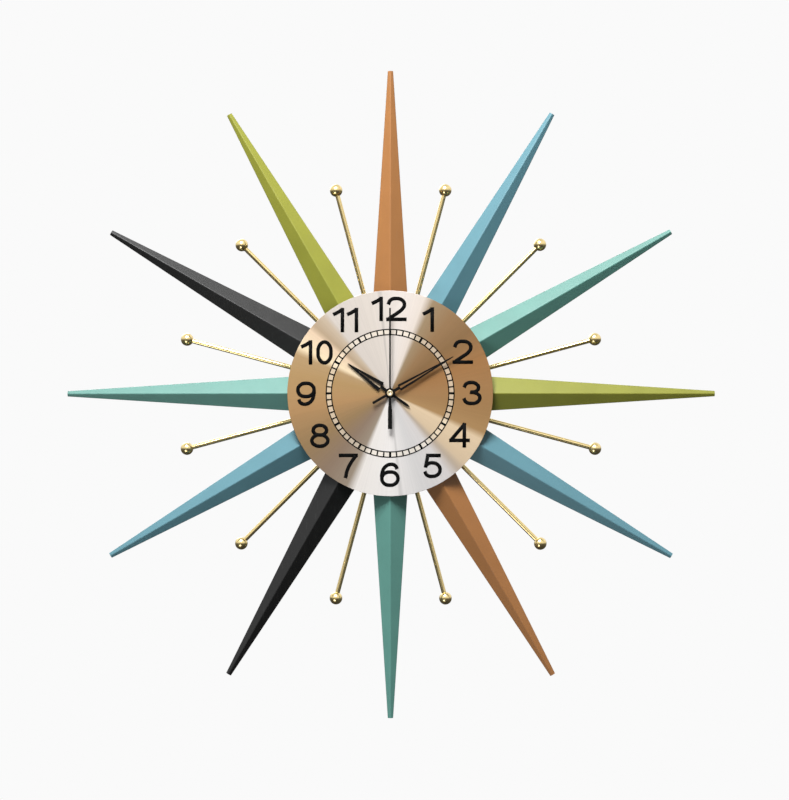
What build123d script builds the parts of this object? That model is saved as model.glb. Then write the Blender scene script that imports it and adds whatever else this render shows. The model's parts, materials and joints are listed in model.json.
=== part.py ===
"""Sunburst wall clock: twelve folded metal spikes and twelve ball-tipped rods round a
flat dial, driven by a 56 mm quartz movement in a shallow steel pan.

Everything is drawn in the wall's own frame (x right, y up, height towards the room)
and turned upright on export, so the row stands with +Z up, its face towards -Y and
its origin on the hands' axis in the plane of the wall. Lengths are in mm, and clock
angles are degrees clockwise from twelve.
"""

from build123d import *
from math import cos, pi, radians, sin, tan
import os

# ---- sunburst -----------------------------------------------------------------
SPIKES = 12
PITCH_ANGLE = 360 / SPIKES
TIP_RADIUS = 320.0
SPIKE_INNER_RADIUS = 76.0
SPIKE_WIDTH_AT_DIAL = 33.2
SPIKE_WIDTH_AT_TIP = 5.3
SPIKE_FACET_SLOPE = 34.0
SPIKE_FLANGE_AT_DIAL = 4.0
SPIKE_FLANGE_AT_TIP = 1.4
SPIKE_SHEET = 1.2
FOOT_WIDTH = 14.0
FOOT_THICKNESS = 2.5
FOOT_INNER_RADIUS = 58.0
FOOT_OUTER_RADIUS = 96.0
FOOT_SCREW_RADII = (64.0, 84.0)

ROD_RADIUS = 2.3
ROD_HEIGHT = 12.0
BALL_RADIUS = 6.25
BALL_CENTRE_RADIUS = 210.0
BALL_SOCKET_DEPTH = 4.5
ROD_SPIGOT_RADIUS = 1.95
ROD_SPIGOT_END = 86.5

# ---- pan, pad and hanger --------------------------------------------------------
PAN_RADIUS = 92.0
PAN_SHEET = 1.2
PAN_BACK = 2.0
PAN_FRONT = 24.0
PAN_CORNER = 3.0
PAN_LIP_RADIUS = 80.0
PAD_INNER_RADIUS = 81.0
PAD_OUTER_RADIUS = 91.0
HANGER_SHEET = 1.2
HANGER_WIDTH = 36.0
HANGER_BOTTOM = 60.0
HANGER_TOP = 87.0
HANGER_CORNER = 3.0
KEYHOLE_CENTRE = 69.0
KEYHOLE_RADIUS = 4.5
KEYHOLE_SLOT_HALF_WIDTH = 2.4
KEYHOLE_SLOT_TOP = 76.0
RIVET_OFFSET = 12.0
RIVET_LINE = 84.0
RIVET_RADIUS = 1.5
RIVET_HEAD_RADIUS = 2.8
RIVET_HEAD_HEIGHT = 1.0

# ---- screws and nuts --------------------------------------------------------------
SCREW_RADIUS = 1.5
SCREW_HEAD_RADIUS = 2.75
SCREW_HEAD_HEIGHT = 2.0
SCREW_SLOT_RADIUS = 1.0
SCREW_SLOT_DEPTH = 1.0
SCREW_CLEARANCE_RADIUS = 1.7
THREAD_CLEARANCE = 0.05
ROD_NUT_ACROSS_FLATS = 7.0
ROD_NUT_THICKNESS = 3.2
ROD_NUT_SEAT = 90.6
ROD_SHOULDER_GAP = 0.1

# ---- dial and its carrier -----------------------------------------------------------
DIAL_RADIUS = 101.0
DIAL_BACK = 42.0
DIAL_THICKNESS = 1.0
DIAL_HOLE_RADIUS = 4.3
CARRIER_INNER_RADIUS = 46.0
CARRIER_OUTER_RADIUS = 50.0
CARRIER_FLANGE_RADIUS = 62.0
CARRIER_FLANGE_THICKNESS = 1.5
CARRIER_TABS = 4
CARRIER_TAB_ANGLE = 45.0
CARRIER_TAB_WIDTH = 12.0
CARRIER_TAB_END = 68.0
CARRIER_TAB_THICKNESS = 3.0
CARRIER_SCREW_RADIUS = 60.0

# ---- movement case ---------------------------------------------------------------------
CASE_SIDE = 56.0
CASE_CORNER = 2.0
CASE_WALL = 1.4
COVER_BACK = 6.3
CASE_BACK = 7.8
CASE_FRONT = 21.8
TRAIN_CEILING = 20.4
BAY_CEILING = 21.0
DIVIDER_TOP = -10.6
DIVIDER_BOTTOM = -11.7
BUSHING_RADIUS = 4.0
BUSHING_BORE = 2.58
BUSHING_FRONT = 42.6
COVER_LIP_HEIGHT = 0.8
COVER_LIP_WALL = 1.0
COVER_LIP_GAP = 0.2
GASKET_RADIUS = 14.0
NUT_ACROSS_FLATS = 14.0
NUT_THICKNESS = 2.5
WASHER_RADIUS = 8.5
WASHER_THICKNESS = 0.8
CENTRE_HOLE_RADIUS = 4.15
RUNNING_GAP = 0.05

# ---- battery and contacts ---------------------------------------------------------------
CELL_RADIUS = 7.25
CELL_LENGTH = 50.5
CELL_NUB_LENGTH = 1.0
CELL_NUB_RADIUS = 2.75
CELL_EDGE = 0.5
CELL_LINE = -19.3
CELL_HEIGHT = 13.75
CONTACT_SHEET = 0.4
CONTACT_FACE = 25.7
CONTACT_HALF_WIDTH = 5.5
CONTACT_LOW = 9.0
CONTACT_HIGH = 18.5
CONTACT_TAIL_TOP = -5.0
CONTACT_TAIL_LOW = 9.6
CONTACT_TAIL_HIGH = 12.4
NOTCH_GAP = 0.5

# ---- wheel train: (teeth, module, back, front) ---------------------------------------------
TOOTH_ROOT_SHARE = 0.56
TOOTH_TIP_SHARE = 0.22
ADDENDUM = 0.85
DEDENDUM = 1.25
ROTOR_PINION = (8, 0.2, 11.0, 12.2)
FIFTH_WHEEL = (60, 0.2, 11.2, 12.0)
FIFTH_PINION = (10, 0.35, 12.6, 13.8)
SECONDS_WHEEL = (40, 0.35, 12.8, 13.6)
SECONDS_PINION = (8, 0.25, 14.4, 15.6)
THIRD_WHEEL = (60, 0.25, 14.6, 15.4)
THIRD_PINION = (8, 8.5 / 36, 16.2, 17.4)
CENTRE_WHEEL = (64, 8.5 / 36, 16.4, 17.2)
CANNON_PINION = (12, 0.35, 17.6, 18.8)
MINUTE_WHEEL = (36, 0.35, 17.8, 18.6)
MINUTE_PINION = (10, 0.336, 18.6, 20.1)
HOUR_WHEEL = (40, 0.336, 19.2, 20.0)
KNOB_PINION = (12, 0.35, 17.6, 18.8)
THIRD_DIRECTION = 30.0
FIFTH_DIRECTION = -60.0
ROTOR_DIRECTION = -75.0
MINUTE_DIRECTION = 100.0
KNOB_DIRECTION = 90.0

BRIDGE_BACK = 8.3
BRIDGE_FRONT = 9.1
BRIDGE_LEFT = -19.0
BRIDGE_RIGHT = 19.0
BRIDGE_BOTTOM = -3.6
BRIDGE_TOP = 15.0
BRIDGE_CORNER = 2.0
PILLARS = ((-17.0, -2.0), (14.5, 8.0), (-6.5, 13.4))
PILLAR_RADIUS = 1.2
PILLAR_PIN_RADIUS = 0.6
PIVOT_HOLE_DEPTH = 0.8
SECONDS_ARBOR_RADIUS = 0.5
THIRD_ARBOR_RADIUS = 0.4
FIFTH_ARBOR_RADIUS = 0.35
ROTOR_ARBOR_RADIUS = 0.35
MINUTE_POST_RADIUS = 0.6
MINUTE_POST_BACK = 17.2
CANNON_RADIUS = 1.75
CANNON_BORE = 0.9
CANNON_BACK = 16.2
CANNON_FRONT = 47.6
HOUR_PIPE_RADIUS = 2.5
HOUR_PIPE_BORE = 1.83
HOUR_PIPE_FRONT = 45.3
KNOB_SHAFT_RADIUS = 1.0
KNOB_RADIUS = 5.0
KNOB_BACK = 3.3
KNOB_FRONT = 5.8
KNOB_RIBS = 24
KNOB_RIB_DEPTH = 0.3
MAGNET_RADIUS = 3.0
MAGNET_BACK = 9.5
MAGNET_FRONT = 10.7

# ---- stator, coil and electronics -------------------------------------------------------------
STATOR_BACK = 9.7
STATOR_SHEET = 0.8
STATOR_LEFT = -25.0
STATOR_BOTTOM = 1.0
STATOR_ARM_BOTTOM = 8.2
STATOR_ARM_TOP = 11.2
STATOR_WAIST = -9.0
STATOR_RIGHT = -1.0
STATOR_LEG_WIDTH = 3.0
STATOR_LEG_TOP = 22.0
STATOR_HOLE_GAP = 0.4
CORE_LINE = 20.5
CORE_HEIGHT = 13.2
BOBBIN_LEFT = -21.5
BOBBIN_RIGHT = -4.5
BOBBIN_CHEEK = 9.0
BOBBIN_CHEEK_HEIGHT = 8.4
BOBBIN_CHEEK_THICKNESS = 1.0
BOBBIN_TUBE_WALL = 0.7
BOBBIN_BORE_GAP = 0.1
WINDING_RADIUS = 3.9
WINDING_GAP = 0.05
BOARD_LEFT = -25.3
BOARD_RIGHT = 25.3
BOARD_BOTTOM = -9.8
BOARD_TOP = -4.4
BOARD_BACK = 8.4
BOARD_FRONT = 9.2
CHIP_POSITION = (4.0, -7.1)
CHIP_RADIUS = 2.2
CHIP_HEIGHT = 0.9
CRYSTAL_RADIUS = 1.0
CRYSTAL_LENGTH = 6.2
CRYSTAL_START = (-20.0, -7.1)
CRYSTAL_LEAD_RADIUS = 0.15
CRYSTAL_LEAD_LENGTH = 1.6
CRYSTAL_LEAD_OFFSET = 0.35
CRYSTAL_GAP = 0.02

# ---- hands -----------------------------------------------------------------------------------
HAND_SHEET = 0.5
HUB_RADIUS = 5.0
HOUR_ANGLE = 305.0
MINUTE_ANGLE = 60.0
SECOND_ANGLE = 0.0
HOUR_HAND_BACK = 44.5
MINUTE_HAND_BACK = 46.8
SECOND_HAND_BACK = 49.0
HAND_TIP_WIDTH = 0.9
HAND_NECK_WIDTH = 3.0
HAND_SHOULDER = 0.5
HOUR_TIP = 50.8
HOUR_BLADE_START = 10.4
HOUR_BLADE_WIDTH = 10.2
HOUR_SLOT_END = 38.5
HOUR_SLOT_WIDTH = 2.8
HOUR_TAIL = 20.0
HOUR_TAIL_POINT = 4.0
MINUTE_TIP = 71.7
MINUTE_BLADE_START = 10.2
MINUTE_BLADE_WIDTH = 6.8
MINUTE_SLOT_END = 48.6
MINUTE_SLOT_WIDTH = 2.1
MINUTE_TAIL = 19.4
MINUTE_TAIL_POINT = 0.6
HAND_TAIL_WIDTH = 2.5
SLOT_MARGIN = 1.2
SECOND_TIP = 83.5
SECOND_STEM_WIDTH = 1.6
SECOND_NECK_WIDTH = 2.3
SECOND_NECK_END = 9.0
SECOND_PADDLE_START = 16.5
SECOND_PADDLE_WIDTH = 4.05
SECOND_TAIL = 35.2
SECOND_HUB_RADIUS = 3.0
SECOND_HUB_HEIGHT = 1.9
SECOND_HUB_EDGE = 0.5
SECOND_SOCKET_DEPTH = 1.2

UPRIGHT = Rot(90, 0, 0)
parts = {}


# ---- helpers ---------------------------------------------------------------------------------
def at(radius, clock_angle, centre=(0.0, 0.0)):
    """The point at a radius and a clock angle from a centre, in the wall's frame."""
    turn = radians(clock_angle)
    return (centre[0] + radius * sin(turn), centre[1] + radius * cos(turn))


def clocked(shape, clock_angle):
    """The shape turned clockwise about the hands' axis."""
    return Rot(0, 0, -clock_angle) * shape


def slab(points, back, front):
    """A prism on a closed outline, between two heights."""
    return Pos(0, 0, back) * extrude(make_face(Polyline(*points, close=True)), front - back)


def block(left, right, bottom, top, back, front):
    """A box between stated sides."""
    centre = Pos((left + right) / 2, (bottom + top) / 2, (back + front) / 2)
    return centre * Box(right - left, top - bottom, front - back)


def disc(radius, back, front, centre=(0.0, 0.0)):
    """A cylinder along the height direction."""
    return Pos(centre[0], centre[1], (back + front) / 2) * Cylinder(radius, front - back)


def ring(outer, inner, back, front, centre=(0.0, 0.0)):
    """A flat ring or a tube along the height direction."""
    return disc(outer, back, front, centre) - disc(inner, back - 1, front + 1, centre)


def hexagon(across_flats, thickness, bore):
    """A plain hexagon nut standing on height 0."""
    corner_radius = across_flats / 2 / cos(pi / 6)
    corners = [at(corner_radius, 60 * side) for side in range(6)]
    return slab(corners, 0, thickness) - disc(bore, -1, thickness + 1)


def round_edges(shape, axis, radius):
    """The shape with its edges parallel to an axis rounded."""
    return fillet(shape.edges().filter_by(axis), radius)


# ---- wheel train -----------------------------------------------------------------------------
def pitch_radius(gear):
    """Half a gear's pitch diameter."""
    return gear[0] * gear[1] / 2


def spacing(gear, other):
    """The centre distance of two meshed gears."""
    return pitch_radius(gear) + pitch_radius(other)


def meshed_phase(phase, teeth, direction, other_teeth):
    """The phase of the gear in the given direction whose gap meets this gear's tooth."""
    offset = (direction - phase) / (360 / teeth)
    return direction + 180 - (0.5 - offset) * 360 / other_teeth


def toothed(gear, phase, centre=(0.0, 0.0)):
    """A straight-flanked gear with one tooth at the clock angle of its phase."""
    teeth, module, back, front = gear
    step = 360 / teeth
    root = pitch_radius(gear) - DEDENDUM * module
    tip = pitch_radius(gear) + ADDENDUM * module
    outline = []
    for tooth in range(teeth):
        middle = phase + tooth * step
        outline.append(at(root, middle - TOOTH_ROOT_SHARE * step / 2, centre))
        outline.append(at(tip, middle - TOOTH_TIP_SHARE * step / 2, centre))
        outline.append(at(tip, middle + TOOTH_TIP_SHARE * step / 2, centre))
        outline.append(at(root, middle + TOOTH_ROOT_SHARE * step / 2, centre))
    return slab(outline, back, front)


def make_train():
    """The eight turning assemblies between the rotor and the hands, all in mesh."""
    axis = (0.0, 0.0)
    third_at = at(spacing(SECONDS_PINION, THIRD_WHEEL), THIRD_DIRECTION)
    fifth_at = at(spacing(SECONDS_WHEEL, FIFTH_PINION), FIFTH_DIRECTION)
    rotor_at = at(spacing(FIFTH_WHEEL, ROTOR_PINION), ROTOR_DIRECTION, fifth_at)
    minute_at = at(spacing(CANNON_PINION, MINUTE_WHEEL), MINUTE_DIRECTION)
    knob_at = at(spacing(MINUTE_WHEEL, KNOB_PINION), KNOB_DIRECTION, minute_at)
    pivot_end = TRAIN_CEILING + PIVOT_HOLE_DEPTH - 2 * RUNNING_GAP

    seconds = toothed(SECONDS_WHEEL, 0) + toothed(SECONDS_PINION, 0)
    seconds += disc(SECONDS_ARBOR_RADIUS, BRIDGE_BACK, SECOND_HAND_BACK + SECOND_SOCKET_DEPTH)
    parts["seconds_wheel"] = seconds

    phase = meshed_phase(0, SECONDS_PINION[0], THIRD_DIRECTION, THIRD_WHEEL[0])
    third = toothed(THIRD_WHEEL, phase, third_at) + toothed(THIRD_PINION, 0, third_at)
    parts["third_wheel"] = third + disc(THIRD_ARBOR_RADIUS, BRIDGE_BACK, pivot_end, third_at)

    phase = meshed_phase(0, THIRD_PINION[0], THIRD_DIRECTION + 180, CENTRE_WHEEL[0])
    centre_bore = disc(CANNON_RADIUS + RUNNING_GAP, CENTRE_WHEEL[2] - 1, CENTRE_WHEEL[3] + 1)
    parts["centre_wheel"] = toothed(CENTRE_WHEEL, phase) - centre_bore

    cannon = toothed(CANNON_PINION, 0) + disc(CANNON_RADIUS, CANNON_BACK, CANNON_FRONT)
    parts["cannon_pinion"] = cannon - disc(CANNON_BORE, CANNON_BACK - 1, CANNON_FRONT + 1)

    minute_phase = meshed_phase(0, CANNON_PINION[0], MINUTE_DIRECTION, MINUTE_WHEEL[0])
    minute = toothed(MINUTE_WHEEL, minute_phase, minute_at)
    minute += toothed(MINUTE_PINION, 0, minute_at)
    minute_bore = MINUTE_POST_RADIUS + RUNNING_GAP
    parts["minute_wheel"] = minute - disc(minute_bore, MINUTE_POST_BACK, CASE_FRONT, minute_at)

    phase = meshed_phase(0, MINUTE_PINION[0], MINUTE_DIRECTION + 180, HOUR_WHEEL[0])
    hour = toothed(HOUR_WHEEL, phase) + disc(HOUR_PIPE_RADIUS, HOUR_WHEEL[2], HOUR_PIPE_FRONT)
    parts["hour_wheel"] = hour - disc(HOUR_PIPE_BORE, HOUR_WHEEL[2] - 1, HOUR_PIPE_FRONT + 1)

    phase = meshed_phase(minute_phase, MINUTE_WHEEL[0], KNOB_DIRECTION, KNOB_PINION[0])
    knob = disc(KNOB_RADIUS, KNOB_BACK, KNOB_FRONT, knob_at)
    for rib in range(KNOB_RIBS):
        groove = at(KNOB_RADIUS, rib * 360 / KNOB_RIBS, knob_at)
        knob -= disc(KNOB_RIB_DEPTH, KNOB_BACK - 1, KNOB_FRONT + 1, groove)
    knob += disc(KNOB_SHAFT_RADIUS, KNOB_FRONT, pivot_end, knob_at)
    parts["setting_knob"] = knob + toothed(KNOB_PINION, phase, knob_at)

    phase = meshed_phase(0, SECONDS_WHEEL[0], FIFTH_DIRECTION, FIFTH_PINION[0])
    fifth = toothed(FIFTH_PINION, phase, fifth_at) + toothed(FIFTH_WHEEL, 0, fifth_at)
    parts["fifth_wheel"] = fifth + disc(FIFTH_ARBOR_RADIUS, BRIDGE_BACK, pivot_end, fifth_at)

    phase = meshed_phase(0, FIFTH_WHEEL[0], ROTOR_DIRECTION, ROTOR_PINION[0])
    rotor = toothed(ROTOR_PINION, phase, rotor_at)
    rotor += disc(MAGNET_RADIUS, MAGNET_BACK, MAGNET_FRONT, rotor_at)
    parts["rotor"] = rotor + disc(ROTOR_ARBOR_RADIUS, BRIDGE_BACK, pivot_end, rotor_at)

    return {
        "axis": (axis, SECONDS_ARBOR_RADIUS),
        "third": (third_at, THIRD_ARBOR_RADIUS),
        "fifth": (fifth_at, FIFTH_ARBOR_RADIUS),
        "rotor": (rotor_at, ROTOR_ARBOR_RADIUS),
        "knob": (knob_at, KNOB_SHAFT_RADIUS),
        "minute": (minute_at, MINUTE_POST_RADIUS),
    }


# ---- movement --------------------------------------------------------------------------------
def make_case(pivots):
    """The moulded case, its rear cover and the plate that carries the rear pivots."""
    half, inner = CASE_SIDE / 2, CASE_SIDE / 2 - CASE_WALL
    case = round_edges(block(-half, half, -half, half, CASE_BACK, CASE_FRONT), Axis.Z, CASE_CORNER)
    case -= block(-inner, inner, DIVIDER_TOP, inner, CASE_BACK - 1, TRAIN_CEILING)
    case -= block(-inner, inner, -inner, DIVIDER_BOTTOM, CASE_BACK - 1, BAY_CEILING)
    slot = CONTACT_FACE + CONTACT_SHEET / 2
    notch = block(
        slot - NOTCH_GAP, slot + NOTCH_GAP, DIVIDER_BOTTOM - 1, DIVIDER_TOP + 1,
        CONTACT_TAIL_LOW - NOTCH_GAP, CONTACT_TAIL_HIGH + NOTCH_GAP,
    )
    case -= notch
    case -= mirror(notch, about=Plane.YZ)
    case += disc(BUSHING_RADIUS, TRAIN_CEILING, BUSHING_FRONT)
    case -= disc(BUSHING_BORE, TRAIN_CEILING - 1, BUSHING_FRONT + 1)
    for name in ("third", "fifth", "rotor", "knob"):
        centre, radius = pivots[name]
        hole_end = TRAIN_CEILING + PIVOT_HOLE_DEPTH
        case -= disc(radius + RUNNING_GAP, TRAIN_CEILING - 1, hole_end, centre)
    case += disc(MINUTE_POST_RADIUS, MINUTE_POST_BACK, TRAIN_CEILING + 1, pivots["minute"][0])
    for pillar in PILLARS:
        case += disc(PILLAR_RADIUS, BRIDGE_FRONT, TRAIN_CEILING + 1, pillar)
        case += disc(PILLAR_PIN_RADIUS, BRIDGE_BACK, BRIDGE_FRONT + 1, pillar)
    parts["movement_case"] = case

    cover = round_edges(
        block(-half, half, DIVIDER_BOTTOM, half, COVER_BACK, CASE_BACK), Axis.Z, CASE_WALL / 2
    )
    fit = inner - COVER_LIP_GAP
    lip_front = CASE_BACK + COVER_LIP_HEIGHT - COVER_LIP_GAP
    rail = block(-fit, fit, fit - COVER_LIP_WALL, fit, CASE_BACK, lip_front)
    cover += rail
    knob_at, knob_radius = pivots["knob"]
    cover -= disc(knob_radius + 2 * RUNNING_GAP, COVER_BACK - 1, CASE_BACK + 1, knob_at)
    parts["movement_cover"] = cover

    bridge = block(
        BRIDGE_LEFT, BRIDGE_RIGHT, BRIDGE_BOTTOM, BRIDGE_TOP, BRIDGE_BACK, BRIDGE_FRONT
    )
    bridge = round_edges(bridge, Axis.Z, BRIDGE_CORNER)
    for name in ("axis", "third", "fifth", "rotor", "knob"):
        centre, radius = pivots[name]
        bridge -= disc(radius + RUNNING_GAP, BRIDGE_BACK - 1, BRIDGE_FRONT + 1, centre)
    for pillar in PILLARS:
        hole = PILLAR_PIN_RADIUS + RUNNING_GAP
        bridge -= disc(hole, BRIDGE_BACK - 1, BRIDGE_FRONT + 1, pillar)
    parts["train_bridge"] = bridge

    parts["rubber_gasket"] = ring(GASKET_RADIUS, CENTRE_HOLE_RADIUS, CASE_FRONT, PAN_FRONT - PAN_SHEET)
    nut_back = PAN_FRONT + WASHER_THICKNESS
    parts["nut_washer"] = ring(WASHER_RADIUS, CENTRE_HOLE_RADIUS, PAN_FRONT, nut_back)
    nut = hexagon(NUT_ACROSS_FLATS, NUT_THICKNESS, BUSHING_RADIUS + RUNNING_GAP)
    parts["bushing_nut"] = Pos(0, 0, nut_back) * nut


def make_motor(rotor_at):
    """The stepping motor's stator and coil, and the board that pulses it."""
    front = STATOR_BACK + STATOR_SHEET
    left_leg = STATOR_LEFT + STATOR_LEG_WIDTH
    right_leg = STATOR_RIGHT - STATOR_LEG_WIDTH
    core_back = CORE_HEIGHT - STATOR_SHEET / 2
    core_front = CORE_HEIGHT + STATOR_SHEET / 2
    core_bottom = CORE_LINE - STATOR_LEG_WIDTH / 2
    core_top = CORE_LINE + STATOR_LEG_WIDTH / 2
    outline = [
        (STATOR_LEFT, STATOR_BOTTOM),
        (STATOR_WAIST, STATOR_BOTTOM),
        (STATOR_WAIST, STATOR_ARM_BOTTOM),
        (STATOR_RIGHT, STATOR_ARM_BOTTOM),
        (STATOR_RIGHT, STATOR_LEG_TOP),
        (right_leg, STATOR_LEG_TOP),
        (right_leg, STATOR_ARM_TOP),
        (left_leg, STATOR_ARM_TOP),
        (left_leg, STATOR_LEG_TOP),
        (STATOR_LEFT, STATOR_LEG_TOP),
    ]
    stator = slab(outline, STATOR_BACK, front)
    stator -= disc(MAGNET_RADIUS + STATOR_HOLE_GAP, STATOR_BACK - 1, front + 1, rotor_at)
    stator += block(STATOR_LEFT, left_leg, core_bottom, core_top, STATOR_BACK, core_front)
    stator += block(right_leg, STATOR_RIGHT, core_bottom, core_top, STATOR_BACK, core_front)
    stator += block(STATOR_LEFT, STATOR_RIGHT, core_bottom, core_top, core_back, core_front)
    parts["stator"] = stator

    low, high = CORE_HEIGHT - BOBBIN_CHEEK_HEIGHT / 2, CORE_HEIGHT + BOBBIN_CHEEK_HEIGHT / 2
    bottom, top = CORE_LINE - BOBBIN_CHEEK / 2, CORE_LINE + BOBBIN_CHEEK / 2
    bore = block(
        BOBBIN_LEFT - 1, BOBBIN_RIGHT + 1, core_bottom - BOBBIN_BORE_GAP, core_top + BOBBIN_BORE_GAP,
        core_back - BOBBIN_BORE_GAP, core_front + BOBBIN_BORE_GAP,
    )
    wall = BOBBIN_BORE_GAP + BOBBIN_TUBE_WALL
    tube = block(
        BOBBIN_LEFT, BOBBIN_RIGHT, core_bottom - wall, core_top + wall,
        core_back - wall, core_front + wall,
    )
    inside_left = BOBBIN_LEFT + BOBBIN_CHEEK_THICKNESS
    inside_right = BOBBIN_RIGHT - BOBBIN_CHEEK_THICKNESS
    bobbin = tube + block(BOBBIN_LEFT, inside_left, bottom, top, low, high)
    bobbin += block(inside_right, BOBBIN_RIGHT, bottom, top, low, high)
    parts["coil_bobbin"] = bobbin - bore
    tube_room = block(
        BOBBIN_LEFT, BOBBIN_RIGHT,
        core_bottom - wall - WINDING_GAP, core_top + wall + WINDING_GAP,
        core_back - wall - WINDING_GAP, core_front + wall + WINDING_GAP,
    )
    length = inside_right - inside_left - 2 * WINDING_GAP
    middle = Pos((BOBBIN_LEFT + BOBBIN_RIGHT) / 2, CORE_LINE, CORE_HEIGHT)
    parts["coil_winding"] = middle * Rot(0, 90, 0) * Cylinder(WINDING_RADIUS, length) - tube_room

    board = block(BOARD_LEFT, BOARD_RIGHT, BOARD_BOTTOM, BOARD_TOP, BOARD_BACK, BOARD_FRONT)
    dome_radius = (CHIP_RADIUS**2 + CHIP_HEIGHT**2) / (2 * CHIP_HEIGHT)
    dome = Pos(*CHIP_POSITION, BOARD_FRONT + CHIP_HEIGHT - dome_radius) * Sphere(dome_radius)
    reach = dome_radius + 1
    dome -= Pos(*CHIP_POSITION, BOARD_FRONT - reach) * Box(2 * reach, 2 * reach, 2 * reach)
    parts["circuit_board"] = board + dome

    start_x, line_y = CRYSTAL_START
    can_height = BOARD_FRONT + CRYSTAL_RADIUS + CRYSTAL_GAP
    can = Pos(start_x + CRYSTAL_LENGTH / 2, line_y, can_height) * Rot(0, 90, 0)
    crystal = can * Cylinder(CRYSTAL_RADIUS, CRYSTAL_LENGTH)
    for side in (-1, 1):
        lead_x = start_x + CRYSTAL_LENGTH + CRYSTAL_LEAD_LENGTH / 2 - CRYSTAL_GAP
        lead = Pos(lead_x, line_y + side * CRYSTAL_LEAD_OFFSET, can_height) * Rot(0, 90, 0)
        crystal += lead * Cylinder(CRYSTAL_LEAD_RADIUS, CRYSTAL_LEAD_LENGTH)
    parts["quartz_crystal"] = crystal


def make_power():
    """The AA cell across the bottom of the case and the spring strips at its ends."""
    half = CELL_LENGTH / 2
    body_length = CELL_LENGTH - CELL_NUB_LENGTH
    body = fillet(Cylinder(CELL_RADIUS, body_length).edges(), CELL_EDGE)
    nub = Pos(0, 0, half - CELL_NUB_LENGTH / 2) * Cylinder(CELL_NUB_RADIUS, CELL_NUB_LENGTH)
    cell = Pos(0, 0, -CELL_NUB_LENGTH / 2) * body + nub
    parts["battery"] = Pos(0, CELL_LINE, CELL_HEIGHT) * Rot(0, 90, 0) * cell

    outside = CONTACT_FACE + CONTACT_SHEET
    plate = block(
        CONTACT_FACE, outside, CELL_LINE - CONTACT_HALF_WIDTH, CELL_LINE + CONTACT_HALF_WIDTH,
        CONTACT_LOW, CONTACT_HIGH,
    )
    tail = block(
        CONTACT_FACE, outside, CELL_LINE, CONTACT_TAIL_TOP, CONTACT_TAIL_LOW, CONTACT_TAIL_HIGH
    )
    contact = plate + tail
    parts["positive_contact"] = contact
    parts["negative_contact"] = mirror(contact, about=Plane.YZ)


# ---- hands -----------------------------------------------------------------------------------
def make_blade_hand(blade, back, bore, clock_angle):
    """A skeleton hand: a slotted tapering blade, a round hub and a short plain tail."""
    start, width, tip, slot_width, slot_end, tail, point = blade
    front = back + HAND_SHEET
    hand = slab(
        [
            (-width / 2, start + HAND_SHOULDER), (-HAND_NECK_WIDTH / 2, start),
            (HAND_NECK_WIDTH / 2, start), (width / 2, start + HAND_SHOULDER),
            (HAND_TIP_WIDTH / 2, tip), (-HAND_TIP_WIDTH / 2, tip),
        ],
        back, front,
    )
    slot_start = start + SLOT_MARGIN
    hand -= slab(
        [(-slot_width / 2, slot_start), (slot_width / 2, slot_start), (0, slot_end)],
        back - 1, front + 1,
    )
    hand += block(-HAND_NECK_WIDTH / 2, HAND_NECK_WIDTH / 2, 0, start + 1, back, front)
    half_tail = HAND_TAIL_WIDTH / 2
    hand += slab(
        [(-half_tail, 0), (-half_tail, -tail), (0, -tail - point), (half_tail, -tail), (half_tail, 0)],
        back, front,
    )
    hand += disc(HUB_RADIUS, back, front)
    hand -= disc(bore, back - 1, front + 1)
    return clocked(hand, clock_angle)


def make_hands():
    """The three hands, set to ten past ten."""
    hour_blade = (
        HOUR_BLADE_START, HOUR_BLADE_WIDTH, HOUR_TIP, HOUR_SLOT_WIDTH,
        HOUR_SLOT_END, HOUR_TAIL, HOUR_TAIL_POINT,
    )
    minute_blade = (
        MINUTE_BLADE_START, MINUTE_BLADE_WIDTH, MINUTE_TIP, MINUTE_SLOT_WIDTH,
        MINUTE_SLOT_END, MINUTE_TAIL, MINUTE_TAIL_POINT,
    )
    parts["hour_hand"] = make_blade_hand(
        hour_blade, HOUR_HAND_BACK, HOUR_PIPE_RADIUS + RUNNING_GAP, HOUR_ANGLE
    )
    parts["minute_hand"] = make_blade_hand(
        minute_blade, MINUTE_HAND_BACK, CANNON_RADIUS + RUNNING_GAP, MINUTE_ANGLE
    )
    back, front = SECOND_HAND_BACK, SECOND_HAND_BACK + HAND_SHEET
    half_stem, half_neck = SECOND_STEM_WIDTH / 2, SECOND_NECK_WIDTH / 2
    half_paddle = SECOND_PADDLE_WIDTH / 2
    second = slab(
        [
            (-half_stem, SECOND_TIP), (-half_stem, 0), (-half_neck, 0),
            (-half_neck, -SECOND_NECK_END), (-half_paddle, -SECOND_PADDLE_START),
            (-half_paddle, -SECOND_TAIL), (half_paddle, -SECOND_TAIL),
            (half_paddle, -SECOND_PADDLE_START), (half_neck, -SECOND_NECK_END),
            (half_neck, 0), (half_stem, 0), (half_stem, SECOND_TIP),
        ],
        back, front,
    )
    hub = disc(SECOND_HUB_RADIUS, back, back + SECOND_HUB_HEIGHT)
    second += fillet(hub.edges().group_by(Axis.Z)[-1], SECOND_HUB_EDGE)
    socket = back + SECOND_SOCKET_DEPTH + RUNNING_GAP
    second -= disc(SECONDS_ARBOR_RADIUS + RUNNING_GAP, back - 1, socket)
    parts["second_hand"] = clocked(second, SECOND_ANGLE)


# ---- shell and sunburst -------------------------------------------------------------------------
def screw(radius, back, length):
    """A cheese-head screw: head behind a height, shank forward of it."""
    made = disc(SCREW_HEAD_RADIUS, back - SCREW_HEAD_HEIGHT, back)
    made += disc(radius, back, back + length)
    head_back = back - SCREW_HEAD_HEIGHT
    return made - disc(SCREW_SLOT_RADIUS, head_back - 1, head_back + SCREW_SLOT_DEPTH)


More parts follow.
